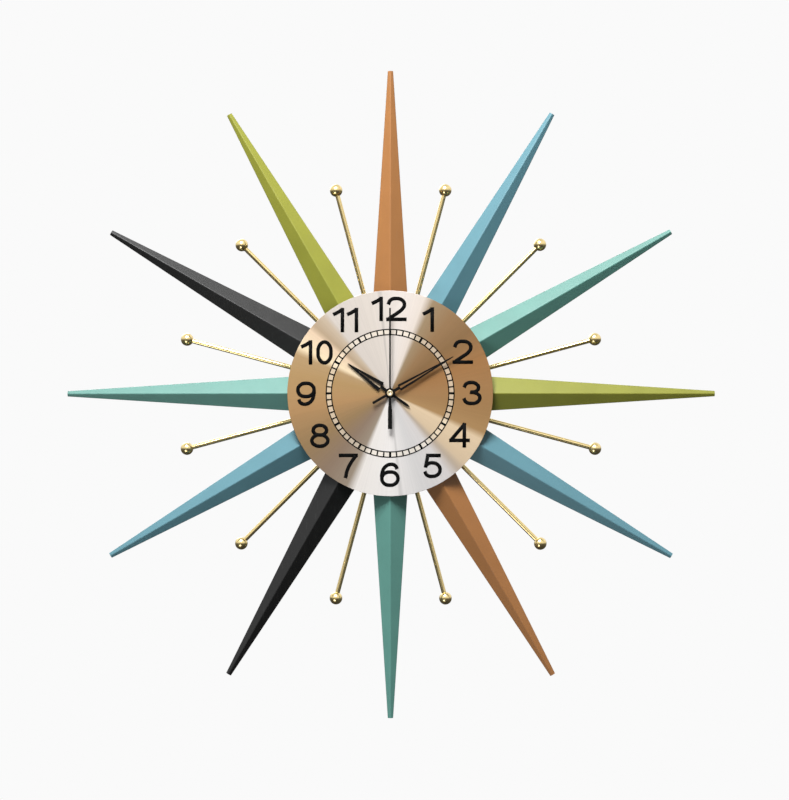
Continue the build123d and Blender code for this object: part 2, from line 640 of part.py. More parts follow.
def make_pan():
    """The pressed pan, its wall pad and the riveted keyhole plate that it hangs by."""
    inner = PAN_RADIUS - PAN_SHEET
    seat = PAN_FRONT - PAN_SHEET
    outside = disc(PAN_RADIUS, PAN_BACK, PAN_FRONT)
    outside = fillet(outside.edges().group_by(Axis.Z)[-1], PAN_CORNER)
    inside = disc(inner, PAN_BACK + PAN_SHEET, seat)
    inside = fillet(inside.edges().group_by(Axis.Z)[-1], PAN_CORNER - PAN_SHEET)
    pan = outside - inside - disc(PAN_LIP_RADIUS, PAN_BACK - 1, PAN_BACK + PAN_SHEET + 1)
    pan -= disc(CENTRE_HOLE_RADIUS, seat - 1, PAN_FRONT + 1)
    for number in range(SPIKES):
        for radius in FOOT_SCREW_RADII:
            centre = at(radius, number * PITCH_ANGLE)
            pan -= disc(SCREW_CLEARANCE_RADIUS, seat - 1, PAN_FRONT + 1, centre)
        rod_hole = Pos(0, PAN_RADIUS, ROD_HEIGHT) * Rot(90, 0, 0)
        rod_hole = rod_hole * Cylinder(ROD_SPIGOT_RADIUS + THREAD_CLEARANCE, 10)
        pan -= clocked(rod_hole, (number + 0.5) * PITCH_ANGLE)
    for number in range(CARRIER_TABS):
        centre = at(CARRIER_SCREW_RADIUS, CARRIER_TAB_ANGLE + number * 360 / CARRIER_TABS)
        pan -= disc(SCREW_CLEARANCE_RADIUS, seat - 1, PAN_FRONT + 1, centre)

    back = PAN_BACK + PAN_SHEET
    front = back + HANGER_SHEET
    half = HANGER_WIDTH / 2
    plate = block(-half, half, HANGER_BOTTOM, HANGER_TOP, back, front)
    plate = round_edges(plate, Axis.Z, HANGER_CORNER)
    plate &= disc(inner - 1, back, front)
    plate -= disc(KEYHOLE_RADIUS, back - 1, front + 1, (0, KEYHOLE_CENTRE))
    slot = KEYHOLE_SLOT_HALF_WIDTH
    plate -= block(-slot, slot, KEYHOLE_CENTRE, KEYHOLE_SLOT_TOP, back - 1, front + 1)
    plate -= disc(slot, back - 1, front + 1, (0, KEYHOLE_SLOT_TOP))
    rivets = []
    for side in (-1, 1):
        centre = (side * RIVET_OFFSET, RIVET_LINE)
        hole = RIVET_RADIUS + THREAD_CLEARANCE
        plate -= disc(hole, back - 1, front + 1, centre)
        pan -= disc(hole, PAN_BACK - 1, back + 1, centre)
        rivet = disc(RIVET_RADIUS, PAN_BACK, front, centre)
        rivets.append(rivet + disc(RIVET_HEAD_RADIUS, front, front + RIVET_HEAD_HEIGHT, centre))
    parts["housing_pan"] = pan
    parts["hanger_plate"] = plate
    parts["hanger_rivets"] = Compound(rivets)
    parts["wall_pad_ring"] = ring(PAD_OUTER_RADIUS, PAD_INNER_RADIUS, 0, PAN_BACK)


def make_dial():
    """The dial disc on a flanged spacer ring that is screwed to the pan from behind."""
    front = DIAL_BACK + DIAL_THICKNESS
    parts["dial"] = ring(DIAL_RADIUS, DIAL_HOLE_RADIUS, DIAL_BACK, front)
    carrier = ring(CARRIER_OUTER_RADIUS, CARRIER_INNER_RADIUS, PAN_FRONT, DIAL_BACK)
    flange_back = DIAL_BACK - CARRIER_FLANGE_THICKNESS
    carrier += ring(CARRIER_FLANGE_RADIUS, CARRIER_INNER_RADIUS, flange_back, DIAL_BACK)
    seat = PAN_FRONT - PAN_SHEET
    middle = (CARRIER_INNER_RADIUS + CARRIER_OUTER_RADIUS) / 2
    half = CARRIER_TAB_WIDTH / 2
    tab_front = PAN_FRONT + CARRIER_TAB_THICKNESS
    screws = []
    for number in range(CARRIER_TABS):
        angle = CARRIER_TAB_ANGLE + number * 360 / CARRIER_TABS
        tab = block(-half, half, middle, CARRIER_TAB_END, PAN_FRONT, tab_front)
        carrier += clocked(tab, angle)
        centre = at(CARRIER_SCREW_RADIUS, angle)
        carrier -= disc(SCREW_RADIUS + THREAD_CLEARANCE, PAN_FRONT - 1, tab_front + 1, centre)
        screws.append(Pos(*centre, 0) * screw(SCREW_RADIUS, seat, PAN_SHEET + CARRIER_TAB_THICKNESS))
    parts["dial_carrier"] = carrier
    parts["carrier_screws"] = Compound(screws)


def spike_section(radius, half_width, flange, slope):
    """A spike's outline across its length: two flanges under two facets and a ridge."""
    rise = half_width * tan(radians(slope))
    shoulder = PAN_FRONT + flange
    outline = Polyline(
        (-half_width, radius, PAN_FRONT),
        (-half_width, radius, shoulder),
        (0, radius, shoulder + rise),
        (half_width, radius, shoulder),
        (half_width, radius, PAN_FRONT),
        close=True,
    )
    return make_face(outline)


def make_spikes():
    """Twelve hollow spikes, each screwed to the pan through a foot strip, and their screws."""
    wall_drop = SPIKE_SHEET / cos(radians(SPIKE_FACET_SLOPE))
    wall_drop -= SPIKE_SHEET * tan(radians(SPIKE_FACET_SLOPE))

    def outline(radius, shrink):
        share = (radius - DIAL_RADIUS) / (TIP_RADIUS - DIAL_RADIUS)
        width = SPIKE_WIDTH_AT_DIAL + share * (SPIKE_WIDTH_AT_TIP - SPIKE_WIDTH_AT_DIAL)
        flange = SPIKE_FLANGE_AT_DIAL + share * (SPIKE_FLANGE_AT_TIP - SPIKE_FLANGE_AT_DIAL)
        half_width = width / 2 - shrink * SPIKE_SHEET
        return spike_section(radius, half_width, flange - shrink * wall_drop, SPIKE_FACET_SLOPE)

    skin = loft([outline(SPIKE_INNER_RADIUS, 0), outline(TIP_RADIUS, 0)], ruled=True)
    hollow_ends = (SPIKE_INNER_RADIUS + SPIKE_SHEET, TIP_RADIUS - SPIKE_SHEET)
    hollow = loft([outline(radius, 1) for radius in hollow_ends], ruled=True)
    spike = skin - hollow
    half = FOOT_WIDTH / 2
    foot_front = PAN_FRONT + FOOT_THICKNESS
    spike += block(-half, half, FOOT_INNER_RADIUS, FOOT_OUTER_RADIUS, PAN_FRONT, foot_front)
    seat = PAN_FRONT - PAN_SHEET
    for radius in FOOT_SCREW_RADII:
        hole = SCREW_RADIUS + THREAD_CLEARANCE
        spike -= disc(hole, PAN_FRONT - 1, foot_front + 1, (0, radius))
    screws = []
    for number in range(SPIKES):
        angle = number * PITCH_ANGLE
        parts[f"spike_{number or SPIKES:02d}"] = clocked(spike, angle)
        for radius in FOOT_SCREW_RADII:
            shank = screw(SCREW_RADIUS, seat, PAN_SHEET + FOOT_THICKNESS)
            screws.append(Pos(*at(radius, angle), 0) * shank)
    parts["spike_screws"] = Compound(screws)


def make_rods():
    """Twelve rods from the pan's side wall, each with a nut inside and a ball at its end."""
    rod_end = BALL_CENTRE_RADIUS - BALL_RADIUS + BALL_SOCKET_DEPTH
    shoulder = PAN_RADIUS + ROD_SHOULDER_GAP

    def along(radius_from, radius_to, radius):
        middle = Pos(0, (radius_from + radius_to) / 2, ROD_HEIGHT)
        return middle * Rot(90, 0, 0) * Cylinder(radius, radius_to - radius_from)

    rod = along(shoulder, rod_end, ROD_RADIUS)
    rod += along(ROD_SPIGOT_END, shoulder, ROD_SPIGOT_RADIUS)
    ball = Pos(0, BALL_CENTRE_RADIUS, ROD_HEIGHT) * Sphere(BALL_RADIUS)
    socket_start = BALL_CENTRE_RADIUS - 2 * BALL_RADIUS
    ball -= along(socket_start, rod_end + THREAD_CLEARANCE, ROD_RADIUS + THREAD_CLEARANCE)
    nut = hexagon(ROD_NUT_ACROSS_FLATS, ROD_NUT_THICKNESS, ROD_SPIGOT_RADIUS + THREAD_CLEARANCE)
    nut = Pos(0, ROD_NUT_SEAT, ROD_HEIGHT) * Rot(90, 0, 0) * nut
    balls, nuts = [], []
    for number in range(SPIKES):
        angle = (number + 0.5) * PITCH_ANGLE
        parts[f"rod_{number + 1:02d}"] = clocked(rod, angle)
        balls.append(clocked(ball, angle))
        nuts.append(clocked(nut, angle))
    parts["ball_finials"] = Compound(balls)
    parts["rod_nuts"] = Compound(nuts)


make_pan()
make_dial()
make_spikes()
make_rods()
pivots = make_train()
make_case(pivots)
make_motor(pivots["rotor"][0])
make_power()
make_hands()

os.makedirs("parts", exist_ok=True)
for name, shape in parts.items():
    export_step(UPRIGHT * shape, f"parts/{name}.step")
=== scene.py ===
"""Dressed model of the sunburst wall clock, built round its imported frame.

+Z is up, the face looks towards -Y and the origin is on the hands' axis in the plane
of the wall. Sizes held by the classes are in millimetres, the scene is in metres, and
clock angles run clockwise from twelve.
"""

import json
import logging
import math
from collections.abc import Callable, Iterable, Sequence
from dataclasses import dataclass, field
from enum import Enum

import bmesh
import bpy
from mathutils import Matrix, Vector

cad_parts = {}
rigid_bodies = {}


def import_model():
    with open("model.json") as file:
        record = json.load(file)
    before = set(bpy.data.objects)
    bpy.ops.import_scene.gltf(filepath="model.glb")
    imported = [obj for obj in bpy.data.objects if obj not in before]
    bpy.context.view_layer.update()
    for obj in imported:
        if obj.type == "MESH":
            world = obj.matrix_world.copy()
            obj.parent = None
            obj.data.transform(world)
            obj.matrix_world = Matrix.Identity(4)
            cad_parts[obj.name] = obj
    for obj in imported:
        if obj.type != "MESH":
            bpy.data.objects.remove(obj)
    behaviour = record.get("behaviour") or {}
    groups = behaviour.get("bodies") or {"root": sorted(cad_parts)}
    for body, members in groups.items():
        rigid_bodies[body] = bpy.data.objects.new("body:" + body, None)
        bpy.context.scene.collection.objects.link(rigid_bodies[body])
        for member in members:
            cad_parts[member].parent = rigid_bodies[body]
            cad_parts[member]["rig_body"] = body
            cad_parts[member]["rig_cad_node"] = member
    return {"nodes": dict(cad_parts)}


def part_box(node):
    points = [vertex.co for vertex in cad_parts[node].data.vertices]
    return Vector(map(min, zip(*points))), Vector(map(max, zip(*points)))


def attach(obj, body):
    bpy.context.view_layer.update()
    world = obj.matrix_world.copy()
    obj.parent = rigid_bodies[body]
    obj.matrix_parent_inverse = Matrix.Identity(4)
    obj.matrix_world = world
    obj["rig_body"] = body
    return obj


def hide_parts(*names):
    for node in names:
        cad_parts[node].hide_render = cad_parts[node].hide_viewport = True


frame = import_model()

LOG = logging.getLogger("sunburst_clock")
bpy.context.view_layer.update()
BODY = "clock_body"
MM = 0.001
SEAM = 1e-6
FLATNESS = math.radians(0.5)
QUARTER_TURN = math.pi / 2
HOURS = 12
MINUTES = 60
HOUR_ANGLE = 360 / HOURS
HOLE_SIDES = 24
HEXAGON = 6

CENTRE = Vector()
ROOM = Vector((0.0, -1.0, 0.0))
UP = Vector((0.0, 0.0, 1.0))
ACROSS = Vector((1.0, 0.0, 0.0))

Piece = bpy.types.Object
Socket = bpy.types.NodeSocket
Triple = tuple[float, float, float]
Colour = Triple
Outline = Sequence[tuple[float, float]]


# ---- bench ---------------------------------------------------------------------------
class Element(Enum):
    """The kind of mesh element that an edit picks."""

    CORNER = "VERT"
    EDGE = "EDGE"
    FACE = "FACE"


class Joinery(Enum):
    """How one solid changes another."""

    CUT = "DIFFERENCE"
    WELD = "UNION"


def clear_bench() -> None:
    """Leaves edit mode and deselects everything."""
    if bpy.context.mode != "OBJECT":
        bpy.ops.object.mode_set(mode="OBJECT")
    bpy.ops.object.select_all(action="DESELECT")


def take(piece: Piece) -> None:
    """Makes a piece the only selected one, and the active one.

    Args:
        piece: The piece.
    """
    clear_bench()
    piece.select_set(True)
    bpy.context.view_layer.objects.active = piece


def name_new(name: str) -> Piece:
    """Names the object that was just added, and its data.

    Args:
        name: The object's name.

    Returns:
        The object.
    """
    piece = bpy.context.object
    piece.name = piece.data.name = name
    return piece


def settle(piece: Piece) -> None:
    """Puts a piece's place, turn and scale into its mesh."""
    take(piece)
    bpy.ops.object.transform_apply(location=True, rotation=True, scale=True)


def edit(piece: Piece) -> None:
    """Opens a piece in edit mode."""
    take(piece)
    bpy.ops.object.mode_set(mode="EDIT")


def discard(*pieces: Piece) -> None:
    """Throws away patterns and tools."""
    for piece in pieces:
        bpy.data.objects.remove(piece)


def pick(piece: Piece, kind: Element, wanted: Callable[[Vector], bool]) -> None:
    """Selects, in edit mode, the elements whose centres pass a test.

    Args:
        piece: The piece in edit mode.
        kind: Corners, edges or faces.
        wanted: Takes an element's centre, and says whether it is selected.
    """
    bpy.ops.mesh.select_mode(type=kind.value)
    bpy.ops.mesh.select_all(action="DESELECT")
    mesh = bmesh.from_edit_mesh(piece.data)
    groups = {Element.CORNER: mesh.verts, Element.EDGE: mesh.edges, Element.FACE: mesh.faces}
    for element in groups[kind]:
        corners = [element] if kind is Element.CORNER else list(element.verts)
        centre = sum((corner.co for corner in corners), Vector()) / len(corners)
        if wanted(centre):
            element.select_set(True)
    mesh.select_flush_mode()
    bmesh.update_edit_mesh(piece.data)


def close_seams() -> None:
    """Merges coincident corners, turns the faces outwards and leaves edit mode."""
    bpy.ops.mesh.select_all(action="SELECT")
    bpy.ops.mesh.remove_doubles(threshold=SEAM)
    bpy.ops.mesh.normals_make_consistent(inside=False)
    bpy.ops.object.mode_set(mode="OBJECT")


def draw_corners(name: str, corners: Sequence[Vector]) -> Piece:
    """Starts a piece as a chain of edges.

    Args:
        name: The piece's name.
        corners: The chain's corners, in metres.

    Returns:
        The piece, left in edit mode with the chain selected.
    """
    clear_bench()
    bpy.ops.mesh.primitive_plane_add(size=MM)
    piece = name_new(name)
    bpy.ops.object.mode_set(mode="EDIT")
    bpy.ops.mesh.select_mode(type="VERT")
    bpy.ops.mesh.select_all(action="SELECT")
    bpy.ops.mesh.merge(type="CENTER")
    bpy.ops.transform.translate(value=tuple(corners[0]))
    for here, there in zip(corners, corners[1:]):
        step = tuple(there - here)
        bpy.ops.mesh.extrude_vertices_move(TRANSFORM_OT_translate={"value": step})
    bpy.ops.mesh.select_all(action="SELECT")
    return piece


def rectangle(left: float, low: float, right: float, high: float) -> list[tuple[float, float]]:
    """Gives a rectangle's corners, in order."""
    return [(left, low), (right, low), (right, high), (left, high)]


def turned(
    name: str,
    profile: Outline,
    origin: Vector = CENTRE,
    along: Vector = ROOM,
    out: Vector = ACROSS,
    steps: int = 64,
) -> Piece:
    """Draws a profile and spins it into a closed round piece.

    Args:
        name: The piece's name.
        profile: (radius, distance along the axis) in mm. It starts and ends on the
            axis, or is closed from its last point to its first.
        origin: A point on the axis, in metres.
        along: The axis's direction.
        out: The direction in which the radius is drawn.
        steps: The number of faces round the axis.

    Returns:
        The piece, in object mode.
    """
    loop = list(profile) + ([profile[0]] if profile[0][0] > 0 else [])
    corners = [origin + (out * radius + along * reach) * MM for radius, reach in loop]
    piece = draw_corners(name, corners)
    bpy.ops.mesh.spin(steps=steps, angle=math.tau, center=tuple(origin), axis=tuple(along))
    close_seams()
    return piece


def cut_sheet(name: str, outline: Outline, back: float, front: float) -> Piece:
    """Cuts a flat piece to an outline and gives it its thickness.

    Args:
        name: The piece's name.
        outline: (across, up) corners in mm, in order.
        back: The height of its back above the wall, in mm.
        front: The height of its front, in mm.

    Returns:
        The piece, in object mode.
    """
    corners = [Vector((across, -back, up)) * MM for across, up in outline]
    piece = draw_corners(name, corners)
    bpy.ops.mesh.edge_face_add()
    rise = tuple(ROOM * (front - back) * MM)
    bpy.ops.mesh.extrude_region_move(TRANSFORM_OT_translate={"value": rise})
    close_seams()
    return piece


def block(name: str, low: Vector, high: Vector) -> Piece:
    """Adds a cube primitive between two corners.

    Args:
        name: The piece's name.
        low: The least corner, in metres.
        high: The greatest corner.

    Returns:
        The block.
    """
    clear_bench()
    bpy.ops.mesh.primitive_cube_add(size=1.0, location=tuple((low + high) / 2))
    piece = name_new(name)
    piece.scale = high - low
    settle(piece)
    return piece


def cylinder(
    name: str, sides: int, radius: float, length: float, middle: Vector, level: bool = False
) -> Piece:
    """Adds a cylinder primitive.

    Args:
        name: The piece's name.
        sides: The number of its side faces.
        radius: Its radius, in mm.
        length: Its length, in mm.
        middle: Its middle, in metres.
        level: Whether it points into the room instead of up.

    Returns:
        The cylinder.
    """
    clear_bench()
    bpy.ops.mesh.primitive_cylinder_add(
        vertices=sides, radius=radius * MM, depth=length * MM, location=tuple(middle),
        rotation=(QUARTER_TURN if level else 0.0, 0.0, 0.0),
    )
    piece = name_new(name)
    settle(piece)
    return piece


def work(piece: Piece, modifier: str, **settings: object) -> None:
    """Adds a modifier to a piece and applies it.

    Args:
        piece: The piece.
        modifier: The modifier's type.
        settings: The modifier's own properties.
    """
    added = piece.modifiers.new(modifier, modifier)
    for name, value in settings.items():
        setattr(added, name, value)
    take(piece)
    bpy.ops.object.modifier_apply(modifier=added.name)


def combine(piece: Piece, tool: Piece, joint: Joinery) -> None:
    """Cuts a tool's shape out of a piece, or welds it on, and removes the tool."""
    work(piece, "BOOLEAN", operation=joint.value, solver="EXACT", object=tool)
    discard(tool)


def even_shading(piece: Piece, crease: float = 35.0) -> None:
    """Shades a piece smooth and weights its normals by face area.

    Args:
        piece: The piece.
        crease: The least angle between faces that stays sharp, in degrees.
    """
    take(piece)
    bpy.ops.object.shade_smooth_by_angle(angle=math.radians(crease), keep_sharp_edges=False)
    work(piece, "WEIGHTED_NORMAL", keep_sharp=True)


def soften(piece: Piece, width: float, segments: int = 2, limit: float = 30.0) -> None:
    """Rounds a piece's sharp edges and evens its shading.

    Args:
        piece: The piece.
        width: The rounding's width, in mm.
        segments: Faces across each rounding.
        limit: The least angle between faces that counts as an edge, in degrees.
    """
    work(
        piece, "BEVEL", width=width * MM, segments=segments, limit_method="ANGLE",
        angle_limit=math.radians(limit),
    )
    even_shading(piece)


def copied(piece: Piece, name: str, clock_angle: float, shift: Vector = CENTRE) -> Piece:
    """Copies a piece with its own mesh, shifted and then turned clockwise.

    Args:
        piece: The piece to copy.
        name: The copy's name.
        clock_angle: Degrees clockwise about the hands' axis.
        shift: How far the copy moves before it turns, in metres.

    Returns:
        The copy.
    """
    take(piece)
    bpy.ops.object.duplicate(linked=False)
    made = name_new(name)
    made.location = shift
    settle(made)
    made.rotation_euler = (0.0, math.radians(clock_angle), 0.0)
    settle(made)
    return made


def joined(pieces: Sequence[Piece], name: str) -> Piece:
    """Joins pieces into one.

    Args:
        pieces: The pieces.
        name: The name of the one they make.

    Returns:
        The joined piece.
    """
    clear_bench()
    for piece in pieces:
        piece.select_set(True)
    bpy.context.view_layer.objects.active = pieces[0]
    bpy.ops.object.join()
    return name_new(name)


def refined(node: str, name: str, width: float) -> Piece:
    """Copies a frame node, makes its flats whole again and rounds its edges.

    Args:
        node: The frame node.
        name: The new piece's name.
        width: The edges' rounding, in mm.

    Returns:
        The new piece, riding on nothing yet.
    """
    take(frame["nodes"][node])
    bpy.ops.object.duplicate(linked=False)
    piece = name_new(name)
    piece.parent = None
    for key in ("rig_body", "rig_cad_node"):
        del piece[key]
    piece.data.materials.clear()
    bpy.ops.object.mode_set(mode="EDIT")
    bpy.ops.mesh.select_all(action="SELECT")
    bpy.ops.mesh.customdata_custom_splitnormals_clear()
    bpy.ops.mesh.remove_doubles(threshold=SEAM)
    bpy.ops.mesh.dissolve_limited(angle_limit=FLATNESS)
    bpy.ops.object.mode_set(mode="OBJECT")
    soften(piece, width)
    return piece


# ---- finishes ------------------------------------------------------------------------
def linear(red: float, green: float, blue: float) -> Colour:
    """Turns a 0 to 255 display colour into linear light.

    Args:
        red: The red channel.
        green: The green channel.
        blue: The blue channel.

    Returns:
        The colour, each channel from 0 to 1.
    """
    return tuple(
        (v / 255 / 12.92) if v / 255 <= 0.04045 else ((v / 255 + 0.055) / 1.055) ** 2.4
        for v in (red, green, blue)
    )


def shaded(colour: Colour, share: float = 1.0) -> tuple[float, float, float, float]:
    """Gives a colour times a share, kept under white, with full alpha."""
    return (*(min(1.0, channel * share) for channel in colour), 1.0)


def fill_ramp(ramp: bpy.types.ColorRamp, stops: Sequence[tuple[float, Colour]]) -> None:
    """Sets the stops of a new colour ramp.

    Args:
        ramp: The ramp.
        stops: Each stop's position, from 0 to 1, and its colour.
    """
    while len(ramp.elements) < len(stops):
        ramp.elements.new(0.5)
    for stop, (position, colour) in zip(ramp.elements, stops):
        stop.position = position
        stop.color = (*colour, 1.0)


class Recipe:
    """A material's nodes, wired as they are added."""

    def __init__(self, name: str) -> None:
        """Starts a material with a principled shader and the piece's own coordinates.

        Args:
            name: The material's name.
        """
        self.material = bpy.data.materials.new(name)
        self.material.use_nodes = True
        self.tree = self.material.node_tree
        self.tree.nodes.clear()
        self.shader = self.tree.nodes.new("ShaderNodeBsdfPrincipled")
        output = self.tree.nodes.new("ShaderNodeOutputMaterial")
        self.tree.links.new(self.shader.outputs["BSDF"], output.inputs["Surface"])
        self.place = self.tree.nodes.new("ShaderNodeTexCoord").outputs["Object"]

    def feed(self, socket: Socket, value: object) -> None:
        """Links a socket to another, or sets it.

        Args:
            socket: The input.
            value: The output that feeds it, or its constant.
        """
        if isinstance(value, bpy.types.NodeSocket):
            self.tree.links.new(value, socket)
        else:
            socket.default_value = value

    def set(self, **values: object) -> None:
        """Feeds the shader's sockets, named with underscores for spaces."""
        for name, value in values.items():
            self.feed(self.shader.inputs[name.replace("_", " ")], value)

    def add(self, kind: str, sockets: dict, **settings: object) -> bpy.types.Node:
        """Adds a node.

        Args:
            kind: The node's type, without its ShaderNode prefix.
            sockets: Values or sockets by input name or number.
            settings: The node's own properties.

        Returns:
            The node.
        """
        node = self.tree.nodes.new(f"ShaderNode{kind}")
        for name, value in settings.items():
            setattr(node, name, value)
        for name, value in sockets.items():
            self.feed(node.inputs[name], value)
        return node

    def scaled(self, scale: Triple) -> Socket:
        """Gives the piece's coordinates, stretched."""
        return self.add("Mapping", {"Vector": self.place, "Scale": scale}).outputs["Vector"]

    def noise(self, size: float, detail: float = 2.0, vector: Socket | None = None) -> Socket:
        """Gives a noise whose patches are about a size in mm, from 0 to 1."""
        sockets = {"Vector": vector or self.place, "Scale": 1 / (size * MM), "Detail": detail}
        return self.add("TexNoise", sockets).outputs["Fac"]

    def span(
        self, value: Socket, low: float, high: float, start: float = 0.25, end: float = 0.75
    ) -> Socket:
        """Maps start..end of a value to low..high, held at both ends."""
        sockets = {"Value": value, 1: start, 2: end, 3: low, 4: high}
        return self.add("MapRange", sockets).outputs["Result"]

    def sum(self, operation: str, first: object, second: object = 0.0) -> Socket:
        """Works out a sum of two numbers."""
        return self.add("Math", {0: first, 1: second}, operation=operation).outputs[0]

    def product(self, *factors: object) -> Socket:
        """Multiplies numbers together, in order.

        Args:
            factors: The numbers, as constants or sockets.

        Returns:
            Their product.
        """
        result, *rest = factors
        for factor in rest:
            result = self.sum("MULTIPLY", result, factor)
        return result

    def blend(self, share: object, first: object, second: object, how: str = "MIX") -> Socket:
        """Mixes two colours."""
        sockets = {0: share, 6: first, 7: second}
        return self.add("Mix", sockets, data_type="RGBA", blend_type=how).outputs[2]

    def relief(self, height: Socket, depth: float) -> Socket:
        """Gives the normal of a surface raised by a height, up to a depth in mm."""
        sockets = {"Height": height, "Distance": depth * MM, "Strength": 1.0}
        return self.add("Bump", sockets).outputs["Normal"]


@dataclass(frozen=True)
class Finish:
    """A surface finish with its tint drift, gloss drift, grain and scuffs.

    Sizes and depths are in mm, and shares are from 0 to 1.
    """

    slot: str
    colour: Colour
    metallic: float = 0.0
    roughness: float = 0.5
    gloss_drift: float = 0.08
    tint_drift: float = 0.08
    patch: float = 14.0
    grain: float = 0.7
    depth: float = 0.02
    stretch: Triple = (1.0, 1.0, 1.0)
    scuffs: float = 0.05
    scuff_colour: Colour = (0.6, 0.6, 0.6)
    scuff_stretch: Triple = (3.0, 1.0, 0.25)
    scuff_span: tuple[float, float] = (0.60, 0.72)
    scuff_dulling: float = 0.5
    scuffs_per_patch: float = 5.0
    glosses_per_patch: float = 3.0
    coarse_detail: float = 3.0
    fine_detail: float = 4.0
    specular: float = 0.5

    def make(self) -> bpy.types.Material:
        """Builds the material.

        Returns:
            The material, named after its slot.
        """
        recipe = Recipe(self.slot)
        grained = recipe.noise(self.grain, self.coarse_detail, recipe.scaled(self.stretch))
        drift = recipe.span(recipe.noise(self.patch, self.coarse_detail), 0.0, 1.0)
        dark = shaded(self.colour, 1 - self.tint_drift)
        pale = shaded(self.colour, 1 + self.tint_drift)
        fine = recipe.span(grained, 1 - self.tint_drift / 2, 1 + self.tint_drift / 2)
        tint = recipe.blend(1.0, recipe.blend(drift, dark, pale), fine, "MULTIPLY")
        scuff_patch = self.patch / self.scuffs_per_patch
        lines = recipe.noise(scuff_patch, self.fine_detail, recipe.scaled(self.scuff_stretch))
        scuffed = recipe.span(lines, 0.0, self.scuffs, *self.scuff_span)
        tint = recipe.blend(scuffed, tint, shaded(self.scuff_colour))
        gloss = recipe.span(
            recipe.noise(self.patch / self.glosses_per_patch, self.fine_detail),
            self.roughness - self.gloss_drift,
            self.roughness + self.gloss_drift,
        )
        recipe.set(
            Base_Color=tint,
            Roughness=recipe.sum("ADD", gloss, recipe.product(scuffed, self.scuff_dulling)),
            Metallic=self.metallic,
            Specular_IOR_Level=self.specular,
            Normal=recipe.relief(grained, self.depth),
        )
        return recipe.material


